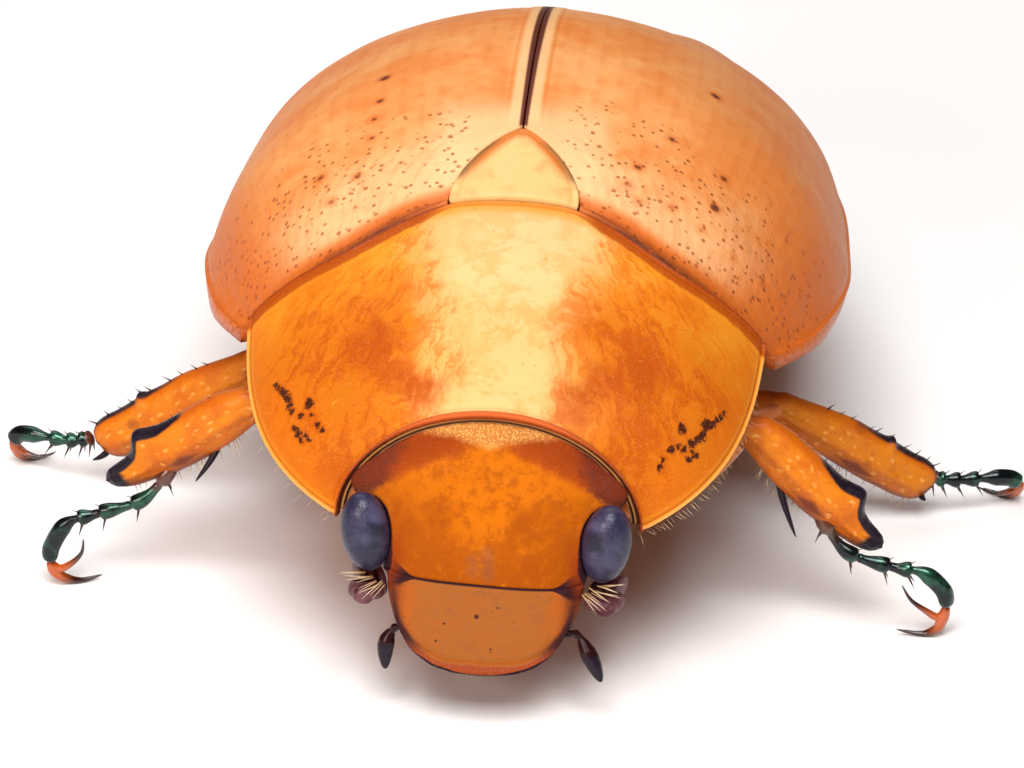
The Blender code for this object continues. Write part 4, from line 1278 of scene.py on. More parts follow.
@dataclass
class Pronotum(Plate):
    """Plate over the front of the body, with a thick front lip and a golden bead on its sides."""

    columns: int = 230
    rows: int = 130
    wall: float = 0.2
    crown: Rows = ((0, -9.74, 6.24), (0, -8.6, 7.37), (0, -6.6, 8.37), (0, -4.62, 8.58))
    side: Rows = ((3.06, -9.86, 3.87), (4.9, -9.4, 4.75), (5.2, -7.6, 5.3), (5.3, -5.76, 6.15))
    sections: tuple[float, float] = (1.0, 1.6)
    bead_width: float = 0.10
    bead_height: float = 0.04
    lip_widths: tuple[float, float] = (0.13, 0.06)
    lip_height: float = 0.045
    lip_teeth: int = 170
    side_hairs: tuple[tuple[Side, int], ...] = ((Side.RIGHT, 18), (Side.LEFT, 55))
    neck_centre: Point = (0.0, -9.5, 3.6)
    band_size: tuple[float, float] = (0.11, 0.03)
    marks: tuple[str, ...] = ("from_side", "from_front", "from_hind", "lip")

    def surface(self, u: float, v: float) -> Vector:
        """Point of the plain surface.

        Args:
            u: place across, 0 to 1.
            v: place along, 0 to 1.
        Returns:
            The point.
        """
        side, crown = bezier(self.side, v), bezier(self.crown, v)
        theta = (2.0 * u - 1.0) * math.pi / 2
        reach = math.sin(theta)
        x = side.x * reach
        lobe = smooth_step(*LOBE, abs(x))
        y = mix(crown.y, side.y, mix(reach * reach, lobe, smooth_step(0.3, 1.0, v)))
        z = side.z + (crown.z - side.z) * abs(math.cos(theta)) ** mix(*self.sections, v)
        return Vector((x, y, z))

    def relief(self, point: Vector, gaps: Mapping[str, float]) -> float:
        """Bead on the sides, lip at the front, thin line behind and an uneven field.

        Args:
            point: point of the plain surface.
            gaps: its distances from the edges.
        Returns:
            Height above the surface.
        """
        side, front, hind = gaps["from_side"], gaps["from_front"], gaps["from_hind"]
        edge = min(side, front, hind)
        height = bead(side, self.bead_width, self.bead_height) - 0.02 * bell(side - 0.14, 0.04)
        height += bead(hind, 0.1, 0.025) - 0.02 * bell(hind - 0.14, 0.04)
        lip = self.lip(point)
        height += bead(front, lip, self.lip_height) - 0.03 * bell(front - lip - 0.03, 0.04)
        field = noise.noise(point * 0.9) * 0.03 + noise.noise(point * 2.6) * 0.007
        return height + field * smooth_step(0.2, 0.8, edge) - roll(edge, 0.07)

    def lip(self, point: Vector) -> float:
        """Width of the front lip, which is widest in the middle."""
        return mix(*self.lip_widths, smooth_step(0.8, 2.8, abs(point.x)))

    def extra(self, point: Vector, u: float, v: float) -> dict[str, float]:
        """Distance from the front edge as a share of the lip's width."""
        return {"lip": (point - self.edge(u, 0.0)).length / self.lip(point)}

    def lip_bristles(self, hairs: "Bristles") -> None:
        """Row of tiny teeth along the upper edge of the front lip.

        Args:
            hairs: piece that takes the hairs.
        """
        for i in range(self.lip_teeth):
            u = mix(0.14, 0.86, (i + 0.5) / self.lip_teeth)
            front = self.surface(u, 0.0)
            v = 0.03 * self.lip(front) / (self.surface(u, 0.03) - front).length
            lean = (front - self.surface(u, 0.03)).normalized()
            hairs.add(self.surface(u, v), self.normal(u, 0.02) * 0.35 + lean, 0.07)

    def side_bristles(self, hairs: "Bristles") -> None:
        """Short pale hairs that stand out from under the side edges.

        Args:
            hairs: piece that takes the hairs.
        """
        for side, count in self.side_hairs:
            for i in range(count):
                v = mix(0.02, 0.8, (i + hairs.draw.random()) / count)
                edge = self.surface(0.5 + 0.5 * side.value, v)
                root = edge + Vector((-0.12 * side.value, 0.05, -0.12))
                way = Vector((side.value * hairs.draw.uniform(0.5, 1.1), hairs.draw.uniform(-0.9, 0.1),
                              hairs.draw.uniform(-1.0, -0.3)))
                hairs.add(root, way, hairs.draw.uniform(0.18, 0.32))

    def membrane(self) -> BMesh:
        """Band of golden skin that reaches inward from the front lip to the head.

        Returns:
            The mesh.
        """
        middle = Vector(self.neck_centre)

        def surface(u: float, v: float) -> Vector:
            """Point of the band, its section a flat loop.

            Args:
                u: place across, 0 to 1.
                v: place along, 0 to 1.
            Returns:
                The point.
            """
            place = mix(0.02, 0.98, v)
            edge = self.surface(place, 0.0)
            ahead = self.surface(place + 0.01, 0.0) - self.surface(place - 0.01, 0.0)
            over, inward = frame_along(ahead.normalized(), middle - edge)
            angle = math.tau * u
            reach, thick = self.band_size
            return (edge + inward * reach * (0.75 + math.cos(angle)) + over * thick * math.sin(angle)
                    + Vector((0.0, 0.12, 0.0)))

        return sleeve(24, 160, surface, {"across": lambda u, v: math.cos(math.tau * u)})

    def build(self) -> None:
        """Makes the plate and its membrane."""
        finish = PronotumFinish().make()
        place_piece("pronotum_shell", self.mesh(), finish, Slot.PRONOTUM, ("pronotum",))
        place_piece("neck_membrane", self.membrane(), NeckFinish().make(), Slot.HEAD)


@dataclass
class Scutellum(Plate):
    """Small rounded triangle between the bases of the wing cases."""

    columns: int = 90
    rows: int = 90
    wall: float = 0.35
    half_width: float = 1.34
    base_y: float = -4.55
    tip_y: float = -2.3
    shape_base_y: float = -4.4
    height: float = 8.72
    slope: float = 0.2
    camber: float = 0.09

    def half(self, y: float) -> float:
        """Half width at a place along the body."""
        share = min(max((y - self.shape_base_y) / (self.tip_y - self.shape_base_y), 0.0), 1.0)
        return self.half_width * (1.0 - share ** 1.7) ** 0.8

    def surface(self, u: float, v: float) -> Vector:
        """Point of the plain surface.

        Args:
            u: place across, 0 to 1.
            v: place along, 0 to 1.
        Returns:
            The point.
        """
        y = mix(self.base_y, self.tip_y - 0.004, v)
        x = max(self.half(y), 0.02) * (2.0 * u - 1.0)
        return Vector((x, y, self.height + self.slope * (y - self.shape_base_y) - self.camber * x * x))

    def relief(self, point: Vector, gaps: Mapping[str, float]) -> float:
        """Rounded edges and a faint hollow inside them."""
        edge = min(gaps["from_side"], gaps["from_hind"])
        return -0.02 * bell(edge - 0.14, 0.07) - roll(edge, 0.05)

    def build(self) -> None:
        """Makes the plate."""
        place_piece("scutellum_shell", self.mesh(), ShieldFinish().make(), Slot.SCUTELLUM, ("scutellum",))


@dataclass
class WingCase(Plate):
    """One wing case: a domed shell with a flat flange and a bead round its outer edge."""

    side: Side = Side.LEFT
    shield: Scutellum = field(default_factory=Scutellum)
    columns: int = 170
    rows: int = 200
    wall: float = 0.22
    crown: Rows = ((0, -4.6, 8.56), (0, -2.3, 9.16), (0, 0.9, 9.5), (0, 4.0, 8.98), (0, 7.0, 7.5),
                   (0, 9.1, 5.95), (0, 10.75, 4.4))
    margin: Rows = ((5.5, -5.62, 5.75), (6.3, -3.7, 5.36), (6.78, -1.0, 5.0), (6.74, 1.8, 4.5),
                    (6.4, 4.9, 4.3), (5.3, 8.0, 4.1), (3.6, 10.2, 3.9), (1.3, 11.3, 3.82))
    flanges: Rows = ((0.0, 0.1), (0.05, 0.26), (0.16, 0.28), (0.3, 0.12), (1.0, 0.08))
    flare_start: float = 0.84
    base_section: float = 1.6
    suture_gap: float = 0.003
    tip_round: float = 0.03
    rimmed: bool = True
    shield_gap: float = 0.012
    bumps: Rows = ((4.35, -3.9, 0.16, 0.9), (3.1, 8.2, 0.2, 1.0))
    bead_width: float = 0.13
    bead_height: float = 0.05
    marks: tuple[str, ...] = ("from_side", "from_rim", "from_front", "from_hind", "across")

    def inner_edge(self, y: float) -> float:
        """Distance from the middle plane to the inner edge."""
        return max(self.shield.half(y) + self.shield_gap, self.suture_gap)

    def surface(self, u: float, v: float) -> Vector:
        """Point of the plain surface.

        Args:
            u: share from the suture to the outer edge.
            v: share from base to tip.
        Returns:
            The point.
        """
        v *= 1.0 - self.tip_round * bell(u, 0.15)
        crown, margin = spline(self.crown, v), spline(self.margin, v)
        outward = (margin - crown).to_2d().normalized().to_3d()
        flange = row_at(self.flanges, v)[1]
        foot = margin - outward * flange
        start = math.asin(min(self.inner_edge(crown.y) / foot.x, 0.95))
        theta = mix(start, math.pi / 2, u)
        reach = math.sin(theta)
        x = foot.x * reach
        base = 1.0 - smooth_step(0.0, 0.22, v)
        y = mix(crown.y, foot.y, mix(reach, smooth_step(*LOBE, x), base))
        height = max(math.cos(theta), 0.0) ** mix(1.0, self.base_section, base)
        height *= height * 1.05 / (height + 0.05)
        z = margin.z + (crown.z - margin.z) * height
        for bump_x, bump_y, rise, width in self.bumps:
            z += rise * bell(math.hypot(x - bump_x, y - bump_y), width)
        flare = max((u - self.flare_start) / (1.0 - self.flare_start), 0.0) ** 2
        point = Vector((x, y, z)) + outward * flange * flare
        point.x *= self.side.value
        return point

    def relief(self, point: Vector, gaps: Mapping[str, float]) -> float:
        """Bead on the rim, raised suture, and a slightly uneven field.

        Args:
            point: point of the plain surface.
            gaps: its distances from the edges.
        Returns:
            Height above the surface.
        """
        rim, suture = gaps["from_rim"], gaps["from_side"]
        height = bead(rim, self.bead_width, self.bead_height)
        height += 0.02 * smooth_step(0.4, 0.3, suture) * smooth_step(-2.4, -1.9, point.y)
        height += bead(gaps["from_front"], 0.2, 0.03)
        edge = min(gaps.values())
        field = noise.noise(point * 0.8) * 0.012 + noise.noise(point * 2.2) * 0.004
        return height + field * smooth_step(0.3, 0.9, edge) - roll(edge, 0.02 if edge == suture else 0.07)

    def extra(self, point: Vector, u: float, v: float) -> dict[str, float]:
        """Share of the way across, for the stripes."""
        return {"across": u}

    def build(self, finish: bpy.types.Material) -> None:
        """Makes the wing case."""
        node = f"{self.side.word}_elytron"
        place_piece(f"{node}_shell", self.mesh(), finish, Slot.ELYTRA, (node,))


@dataclass
class Eyes:
    """The two compound eyes."""

    centre: Point = (2.42, -10.40, 3.87)
    radii: Point = (0.50, 0.47, 0.86)
    turn_degrees: float = 8.0

    def pose(self, side: Side) -> Matrix:
        """Place and turn of an eye.

        Args:
            side: side of the head.
        Returns:
            The matrix that brings a ball at the origin there.
        """
        centre = (self.centre[0] * side.value, *self.centre[1:])
        turn = Matrix.Rotation(math.radians(self.turn_degrees) * side.value, 4, "Y")
        return Matrix.Translation(centre) @ turn

    def inside(self, point: Vector, side: Side) -> Vector:
        """The point in the eye's own frame, where the eye is a ball of radius 1."""
        local = self.pose(side).inverted() @ point
        return Vector(a / b for a, b in zip(local, self.radii))

    def build(self) -> None:
        """Makes both eyes."""
        finish = EyeFinish().make()
        for side in Side:
            node = f"{side.word}_eye"
            lens = ball((0.0, 0.0, 0.0), self.radii, self.pose(side), 96, 64)
            place_piece(f"{node}_lens", lens, finish, Slot.EYE, (node,))


@dataclass
class Head:
    """Forehead and clypeus in one skin, with the sockets of the eyes and the raised front rim."""

    eyes: Eyes
    levels: Rows = (
        (6.20, -8.9, -8.5, 0.4), (6.16, -9.3, -8.5, 1.1), (6.03, -9.55, -8.5, 1.52),
        (5.82, -9.71, -8.55, 1.76), (5.56, -9.85, -8.6, 1.90), (5.10, -10.08, -8.8, 2.08),
        (4.60, -10.34, -9.0, 2.28), (4.10, -10.56, -9.17, 2.34), (3.60, -10.77, -9.17, 2.26),
        (3.20, -10.92, -9.2, 2.10), (2.96, -11.01, -9.35, 2.0), (2.52, -11.16, -9.8, 1.92),
        (2.10, -11.30, -10.33, 1.74), (1.75, -11.40, -10.78, 1.42), (1.52, -11.47, -11.02, 1.05),
        (1.42, -11.49, -11.1, 0.72), (1.37, -11.49, -11.2, 0.36), (1.355, -11.47, -11.3, 0.08))
    rim_levels: Rows = ((2.96, -11.01, 1.99), (2.52, -11.16, 1.92), (2.10, -11.30, 1.74),
                        (1.75, -11.40, 1.42), (1.52, -11.47, 1.05), (1.43, -11.50, 0.66),
                        (1.41, -11.51, 0.0))
    power: float = 3.0
    columns: int = 260
    rows: int = 190
    suture_z: float = 3.06
    suture_slope: float = -0.035
    suture_depth: float = 0.05
    rim_height: float = 0.085
    rim_width: float = 0.075
    rim_steps: int = 160
    rim_set_back: float = 0.2
    rim_share: float = 0.985
    temple: float = 0.25
    socket: float = 1.03

    def surface(self, u: float, v: float) -> Vector:
        """Point of the plain skin.

        Args:
            u: share round the head, with most steps in front.
            v: place along, 0 to 1.
        Returns:
            The point.
        """
        z, front, back, half = spline(self.levels, v)
        angle = math.tau * crowd(u, 0.45) + math.pi / 2
        c, s = math.cos(angle), math.sin(angle)
        x = math.copysign(abs(c) ** (2 / self.power), c) * half
        y = math.copysign(abs(s) ** (2 / self.power), s) * (back - front) / 2
        y += (front + back) / 2
        x *= 1.0 + self.temple * smooth_step(-10.25, -9.75, y) * bell(z - 4.8, 0.6)
        return Vector((x, y, z))

    def suture(self, point: Vector) -> float:
        """Distance below the seam between forehead and clypeus."""
        return self.suture_z + self.suture_slope * point.x - point.z

    def rim_tree(self) -> KDTree:
        """Points along the clypeus rim, to measure distances from.

        Returns:
            The search tree.
        """
        points = []
        for i in range(self.rim_steps):
            z, front, half = spline(self.rim_levels, i / (self.rim_steps - 1))
            set_back = self.rim_set_back * half / self.rim_levels[0][2]
            for side in Side:
                points.append(Vector((half * side.value * self.rim_share, front + set_back, z)))
        return tree_of(points)

    def mesh(self) -> BMesh:
        """Carves the skin.

        Returns:
            The mesh.
        """
        bm = sleeve(self.columns, self.rows, self.surface)
        bm.normal_update()
        tree = self.rim_tree()
        names = ("rim", "eye", "suture", "under")
        rims, eyes, sutures, unders = (bm.verts.layers.float.new(n) for n in names)
        moves = [(vert, vert.co.copy(), vert.normal.copy()) for vert in bm.verts]
        for vert, point, normal in moves:
            _, _, rim = tree.find(point)
            below = self.suture(point)
            rise = self.rim_height * bell(rim, self.rim_width) - 0.02 * bell(rim - 0.17, 0.06)
            rise -= self.suture_depth * bell(below, 0.03)
            rise += 0.015 * bell(below - 0.07, 0.04)
            rise += noise.noise(point * 1.1) * 0.03 + noise.noise(point * 3.5) * 0.012
            point = point + normal * rise
            side = Side.LEFT if point.x > 0 else Side.RIGHT
            local = self.eyes.inside(point, side)
            reach = (local.length - 1.0) * 0.5
            if local.length < self.socket:
                local = local.normalized() * self.socket
                point = self.eyes.pose(side) @ Vector(a * b for a, b in zip(local, self.eyes.radii))
            point += normal * 0.03 * bell(reach - 0.07, 0.05) * (point.y < -9.9)
            vert.co = point
            vert[rims], vert[eyes], vert[sutures] = rim, max(reach, 0.0), below
            # Mark for painted shade: parts that face down, and the back of the clypeus.
            vert[unders] = max(-normal.z * 1.3 - 0.35, point.y + 10.6 if below > 0 else 0.0, 0.0)
        return bm

    def build(self) -> None:
        """Makes the head."""
        place_piece("head_skin", self.mesh(), HeadFinish().make(), Slot.HEAD, ("head",))


@dataclass
class Bristles:
    """Hairs gathered into one mesh: copies of one slender curved cone, each sunk at its root."""

    name: str
    slimness: float = 24.0
    bend: float = 0.12
    sides: int = 5
    seed: int = 7
    sunk: float = 0.06
    axis_z: float = 4.0
    unwrapped_length: float = 26.0

    def __post_init__(self) -> None:
        """Shapes the hair that all the others copy."""
        self.draw = random.Random(self.seed)
        self.whole = bmesh.new()
        hair = bmesh.new()
        bmesh.ops.create_cone(hair, cap_ends=True, segments=self.sides, radius1=1.0, radius2=0.1, depth=1.0,
                              matrix=Matrix.Translation((0.0, 0.0, 0.5)))
        for height in (0.3, 0.6, 0.8):
            bmesh.ops.bisect_plane(hair, geom=hair.verts[:] + hair.edges[:] + hair.faces[:],
                                   plane_co=(0.0, 0.0, height), plane_no=(0.0, 0.0, 1.0))
        layer = hair.verts.layers.float.new("length")
        patch = hair.loops.layers.uv.new("OFBake")
        for vert in hair.verts:
            vert[layer] = vert.co.z
            vert.co.x += self.bend * self.slimness * vert.co.z ** 2
        for face in hair.faces:
            for loop in face.loops:
                loop[patch].uv = (loop.vert.co.y * 0.0014, loop.vert.co.z * 0.003)
        self.template = to_mesh(self.name + "_hair", hair)
        self.uvs = [tuple(item.uv) for item in self.template.uv_layers["OFBake"].data]

    def add(self, root: Vector, way: Vector, length: float) -> None:
        """Adds a hair.

        Args:
            root: point of the surface that it grows from.
            way: direction that it leaves in.
            length: length from root to tip.
        """
        way = way.normalized()
        turn = way.to_track_quat("Z", "Y").to_matrix().to_4x4()
        spin = Matrix.Rotation(self.draw.uniform(0.0, math.tau), 4, "Z")
        size = Matrix.Diagonal((length / self.slimness, length / self.slimness, length, 1.0))
        mesh = self.template.copy()
        mesh.transform(Matrix.Translation(root - way * length * self.sunk) @ turn @ spin @ size)
        around = math.atan2(root.x, root.z - self.axis_z) / math.tau + 0.5
        along = root.y / self.unwrapped_length + 0.5
        uvs = [c for u, v in self.uvs for c in (u + around, v + along)]
        mesh.uv_layers["OFBake"].data.foreach_set("uv", uvs)
        self.whole.from_mesh(mesh)
        bpy.data.meshes.remove(mesh)

    def build(self, finish: bpy.types.Material, slot: Slot) -> None:
        """Makes the piece."""
        place_piece(self.name, above_floor(self.whole), finish, slot)
        bpy.data.meshes.remove(self.template)


@dataclass
class Feelers:
    """Folded antennae, palps and mouthparts."""

    stalk: Rows = ((2.1, -10.5, 2.66), (2.45, -10.45, 2.52), (2.66, -10.15, 2.42), (2.64, -9.8, 2.36))
    stalk_radii: Sizes = (0.12, 0.18, 0.17, 0.13, 0.12)
    knots: Spots = ((2.2, -10.58, 2.6, 0.16), (2.44, -10.56, 2.5, 0.19), (2.6, -10.3, 2.44, 0.15))
    leaves: Rows = ((2.6, -9.58, 2.36), (2.41, -9.56, 2.36), (2.22, -9.54, 2.36))
    leaf_radii: Point = (0.095, 0.56, 0.27)
    leaf_turn: float = -20.0
    palps: tuple[tuple[Side, Rows], ...] = (
        (Side.RIGHT, ((-1.55, -10.85, 1.95), (-1.8, -10.72, 1.86), (-1.96, -10.72, 1.5),
                      (-1.96, -10.85, 0.98))),
        (Side.LEFT, ((1.65, -10.85, 2.0), (1.9, -10.7, 1.92), (2.16, -10.78, 1.5), (2.42, -10.95, 1.0))))
    palp_radii: Sizes = (0.06, 0.085, 0.06, 0.09, 0.07, 0.12, 0.165, 0.175, 0.15, 0.10, 0.04)
    lip: Rows = ((0, -9.2, 2.35), (0, -9.8, 1.95), (0, -10.4, 1.5), (0, -10.95, 1.42))
    lip_radii: Sizes = (0.3, 0.42, 0.36, 0.26, 0.2)
    lip_flat: float = 4.2
    pads: Rows = ((0.8, -10.5, 1.26),)
    pad_radii: Point = (0.42, 0.4, 0.2)
    jaw: Rows = ((1.2, -10.3, 1.75), (1.15, -10.75, 1.6), (0.75, -11.15, 1.42))
    jaw_radii: Sizes = (0.26, 0.27, 0.12)
    fan_start: Point = (1.98, -10.93, 3.04)
    fan_end: Point = (2.46, -10.72, 3.20)
    fan_hairs: int = 12
    fan_degrees: tuple[float, float] = (-42.0, 26.0)
    fan_lengths: tuple[float, float] = (0.36, 0.58)

    def antenna(self, side: Side) -> BMesh:
        """Rounded joints and a club of three leaves.

        Args:
            side: side of the head.
        Returns:
            The mesh.
        """
        parts = [rod(on_side(self.stalk, side), self.stalk_radii, 20, 30)]
        for *centre, size in on_side(self.knots, side):
            parts.append(ball(centre, (size * 1.2, size, size)))
        turn = Matrix.Rotation(math.radians(self.leaf_turn) * side.value, 4, "Z")
        for centre in on_side(self.leaves, side):
            parts.append(ball(centre, self.leaf_radii, turn))
        return melted(parts, 0.028, 2)

    def palp(self, path: Rows) -> BMesh:
        """Thin stalk, small joint and long spindle."""
        return rod(path, self.palp_radii, 24, 70)

    def mouth(self) -> BMesh:
        """Lower lip and jaws.

        Returns:
            The mesh.
        """
        parts = [rod(self.lip, self.lip_radii, 40, 40, self.lip_flat, (0, 0.3, 1))]
        for side in Side:
            parts += [ball(centre, self.pad_radii) for centre in on_side(self.pads, side)]
            parts.append(rod(on_side(self.jaw, side), self.jaw_radii, 16, 16))
        return above_floor(melted(parts, 0.04, 3))

    def fan(self, hairs: Bristles) -> None:
        """Stiff pale hairs that stand out below each eye.

        Args:
            hairs: piece that takes the hairs.
        """
        for side in Side:
            for i in range(self.fan_hairs):
                share = (i + hairs.draw.uniform(0.0, 0.8)) / self.fan_hairs
                angle = math.radians(mix(*self.fan_degrees, share) + hairs.draw.uniform(-12.0, 12.0))
                way = Vector((side.value * math.cos(angle), -0.45, math.sin(angle)))
                root = Vector(self.fan_start).lerp(Vector(self.fan_end), share)
                root.z -= hairs.draw.uniform(0.0, 0.16)
                root.x *= side.value
                hairs.add(root, way, hairs.draw.uniform(*self.fan_lengths))

    def build(self) -> None:
        """Makes the antennae, palps and mouthparts."""
        plum = ShellFinish("antenna_brown", (0.059, 0.010, 0.013), (0.185, 0.076, 0.092), 0.35, 0.2,
                           0.0).make()
        night = PalpFinish().make()
        brown = ShellFinish("mouth_brown", (0.042, 0.010, 0.012), (0.017, 0.006, 0.008), 0.35, 0.3).make()
        for side in Side:
            node = f"{side.word}_antenna"
            place_piece(f"{node}_joints", self.antenna(side), plum, Slot.ANTENNA, (node,))
        for side, path in self.palps:
            node = f"{side.word}_palp"
            place_piece(f"{node}_joints", self.palp(path), night, Slot.PALP, (node,))
        place_piece("mouthparts_skin", self.mouth(), brown, Slot.MOUTH, ("mouthparts",))


@dataclass
class Underside:
    """Skin of the body below the shell plates, and the last back plate."""

    levels: Rows = (
        (-9.3, 1.2, 4.3, 5.0, 3.3), (-8.84, 2.5, 4.5, 5.55, 3.0), (-8.3, 3.5, 4.75, 5.95, 2.75),
        (-7.3, 4.0, 5.05, 6.6, 2.5), (-6.2, 4.2, 5.4, 7.05, 2.35), (-5.0, 4.25, 5.7, 7.35, 2.1),
        (-3.6, 4.95, 5.2, 7.7, 1.5), (-1.8, 5.4, 4.95, 8.1, 1.3), (0.0, 5.45, 4.65, 8.35, 1.25),
        (2.0, 5.4, 4.4, 8.2, 1.6), (4.0, 5.15, 4.3, 7.85, 1.5), (6.0, 4.7, 4.2, 6.95, 1.5),
        (8.0, 3.85, 4.05, 5.65, 1.6), (9.4, 2.85, 3.9, 4.55, 1.8), (10.7, 1.7, 3.2, 3.5, 2.1))
    grooves: Sizes = (-4.8, 1.7, 3.4, 5.1, 6.8, 8.5, 10.0)
    groove_depth: float = 0.14
    tail_centre: Point = (0, 10.56, 2.5)
    tail_radii: Point = (2.75, 1.25, 1.12)
    tail_point: float = 0.45
    fringe_degrees: tuple[float, float] = (-160.0, -20.0)
    hair_count: int = 1300
    hair_span: tuple[float, float, float] = (-8.4, 9.5, -3.0)
    axis_z: float = 4.6

    def surface(self, u: float, v: float) -> Vector:
        """Point of the skin.

        Args:
            u: share round the body from its left side.
            v: place along, 0 to 1.
        Returns:
            The point.
        """
        y = mix(self.levels[0][0], self.levels[-1][0], v)
        _, half, side_z, top, bottom = row_at(self.levels, y)
        angle = math.tau * u
        c, s = math.cos(angle), math.sin(angle)
        groove = max(bell(y - place, 0.09) for place in self.grooves) * self.groove_depth
        if s >= 0:
            return Vector(((half - groove) * c, y, side_z + (top - side_z - groove) * s))
        keel = 0.05 * bell(c, 0.05)
        z = side_z - (side_z - bottom - groove) * abs(s) ** 1.5 + keel
        return Vector(((half - groove) * c, y, z))

    def tail(self) -> BMesh:
        """Shield-shaped plate below the tips of the wing cases.

        Returns:
            The mesh.
        """
        bm = ball(self.tail_centre, self.tail_radii, None, 96, 64)
        low = self.tail_centre[2] - self.tail_radii[2]
        for vert in bm.verts:
            high = smooth_step(low, low + self.tail_radii[2] * 1.5, vert.co.z)
            vert.co.x *= mix(self.tail_point, 1.0, high)
        return bm

    def pelt(self, hairs: Bristles) -> None:
        """Pale hairs on the breast and the sides of the belly.

        Args:
            hairs: piece that takes the hairs.
        """
        draw = hairs.draw
        for _ in range(self.hair_count):
            y = draw.triangular(*self.hair_span)
            v = (y - self.levels[0][0]) / (self.levels[-1][0] - self.levels[0][0])
            u = draw.uniform(0.51, 0.99)
            root = self.surface(u, v)
            outward = Vector((root.x, 0.0, root.z - self.axis_z)).normalized()
            way = outward * 0.5 + Vector((draw.uniform(-0.3, 0.3), draw.uniform(0.5, 1.1), -0.45))
            hairs.add(root, way, draw.uniform(0.3, 0.75) if y < 2.0 else draw.uniform(0.15, 0.35))

    def tail_fringe(self, hairs: Bristles, count: int = 150) -> None:
        """Hairs along the lower edge of the last plate.

        Args:
            hairs: piece that takes the hairs.
            count: number of hairs.
        """
        for i in range(count):
            angle = math.radians(mix(*self.fringe_degrees, (i + hairs.draw.random()) / count))
            root = Vector(self.tail_centre) + Vector((self.tail_radii[0] * 0.6 * math.cos(angle), 0.5,
                                                      self.tail_radii[2] * 0.9 * math.sin(angle)))
            way = Vector((math.cos(angle) * 0.5, hairs.draw.uniform(0.6, 1.0), -0.7))
            hairs.add(root, way, hairs.draw.uniform(0.3, 0.6))

    def build(self) -> None:
        """Makes the skin and the last plate."""
        shell = ShellFinish("underside_orange", (0.353, 0.126, 0.038), (0.126, 0.038, 0.017), 0.35).make()
        skin = sleeve(160, 260, self.surface)
        place_piece("body_skin", skin, shell, Slot.UNDERSIDE, ("prothorax", "thorax", "abdomen"))
        tan = ShellFinish("pygidium_tan", (0.50, 0.19, 0.048), (0.36, 0.12, 0.028), 0.35, 0.3).make()
        place_piece("pygidium_shell", self.tail(), tan, Slot.UNDERSIDE, ("pygidium",))


@dataclass(frozen=True)
class ShinShape:
    """A shin's outline: rows of share of the length, upper edge and lower edge; then half thickness."""

    outline: Rows
    thick: Rows


FRONT_SHIN = ShinShape(
    ((-0.08, 0.26, -0.26), (0.0, 0.45, -0.34), (0.18, 0.54, -0.50), (0.32, 0.51, -0.59),
     (0.45, 0.46, -0.64), (0.56, 0.43, -0.66), (0.62, 0.47, -0.66), (0.675, 0.52, -0.65),
     (0.71, 0.50, -0.64), (0.735, 0.38, -0.63), (0.755, 0.25, -0.63), (0.785, 0.13, -0.62),
     (0.84, 0.05, -0.60), (0.905, 0.0, -0.55), (0.96, -0.05, -0.47), (0.985, -0.12, -0.38),
     (1.0, -0.22, -0.26)),
    ((-0.08, 0.22), (0.1, 0.33), (0.55, 0.34), (0.7, 0.27), (0.82, 0.2), (0.95, 0.14), (1.0, 0.05)))
HIND_SHIN = ShinShape(
    ((-0.14, 0.22, -0.26), (-0.06, 0.36, -0.36), (0.06, 0.38, -0.44), (0.22, 0.43, -0.53),
     (0.38, 0.45, -0.62), (0.5, 0.41, -0.68), (0.6, 0.40, -0.71), (0.64, 0.46, -0.72),
     (0.67, 0.36, -0.72), (0.8, 0.30, -0.74), (0.88, 0.29, -0.72), (0.94, 0.24, -0.64),
     (0.98, 0.12, -0.48), (1.0, -0.08, -0.26)),
    ((-0.14, 0.2), (0.1, 0.28), (0.6, 0.34), (0.9, 0.32), (0.97, 0.22), (1.0, 0.08)))


@dataclass(frozen=True)
class LegPlan:
    """Places and sizes of one leg, from the hip to the claws."""

    name: str
    shape: ShinShape
    thick: float
    length: float
    coxa: Point
    coxa_out: Point
    hip: Point
    knee: Point
    shin: Point
    ankle: Point
    across: Point
    spur: Sizes
    tarsus: Rows
    claw: Rows
    small_claw: Rows


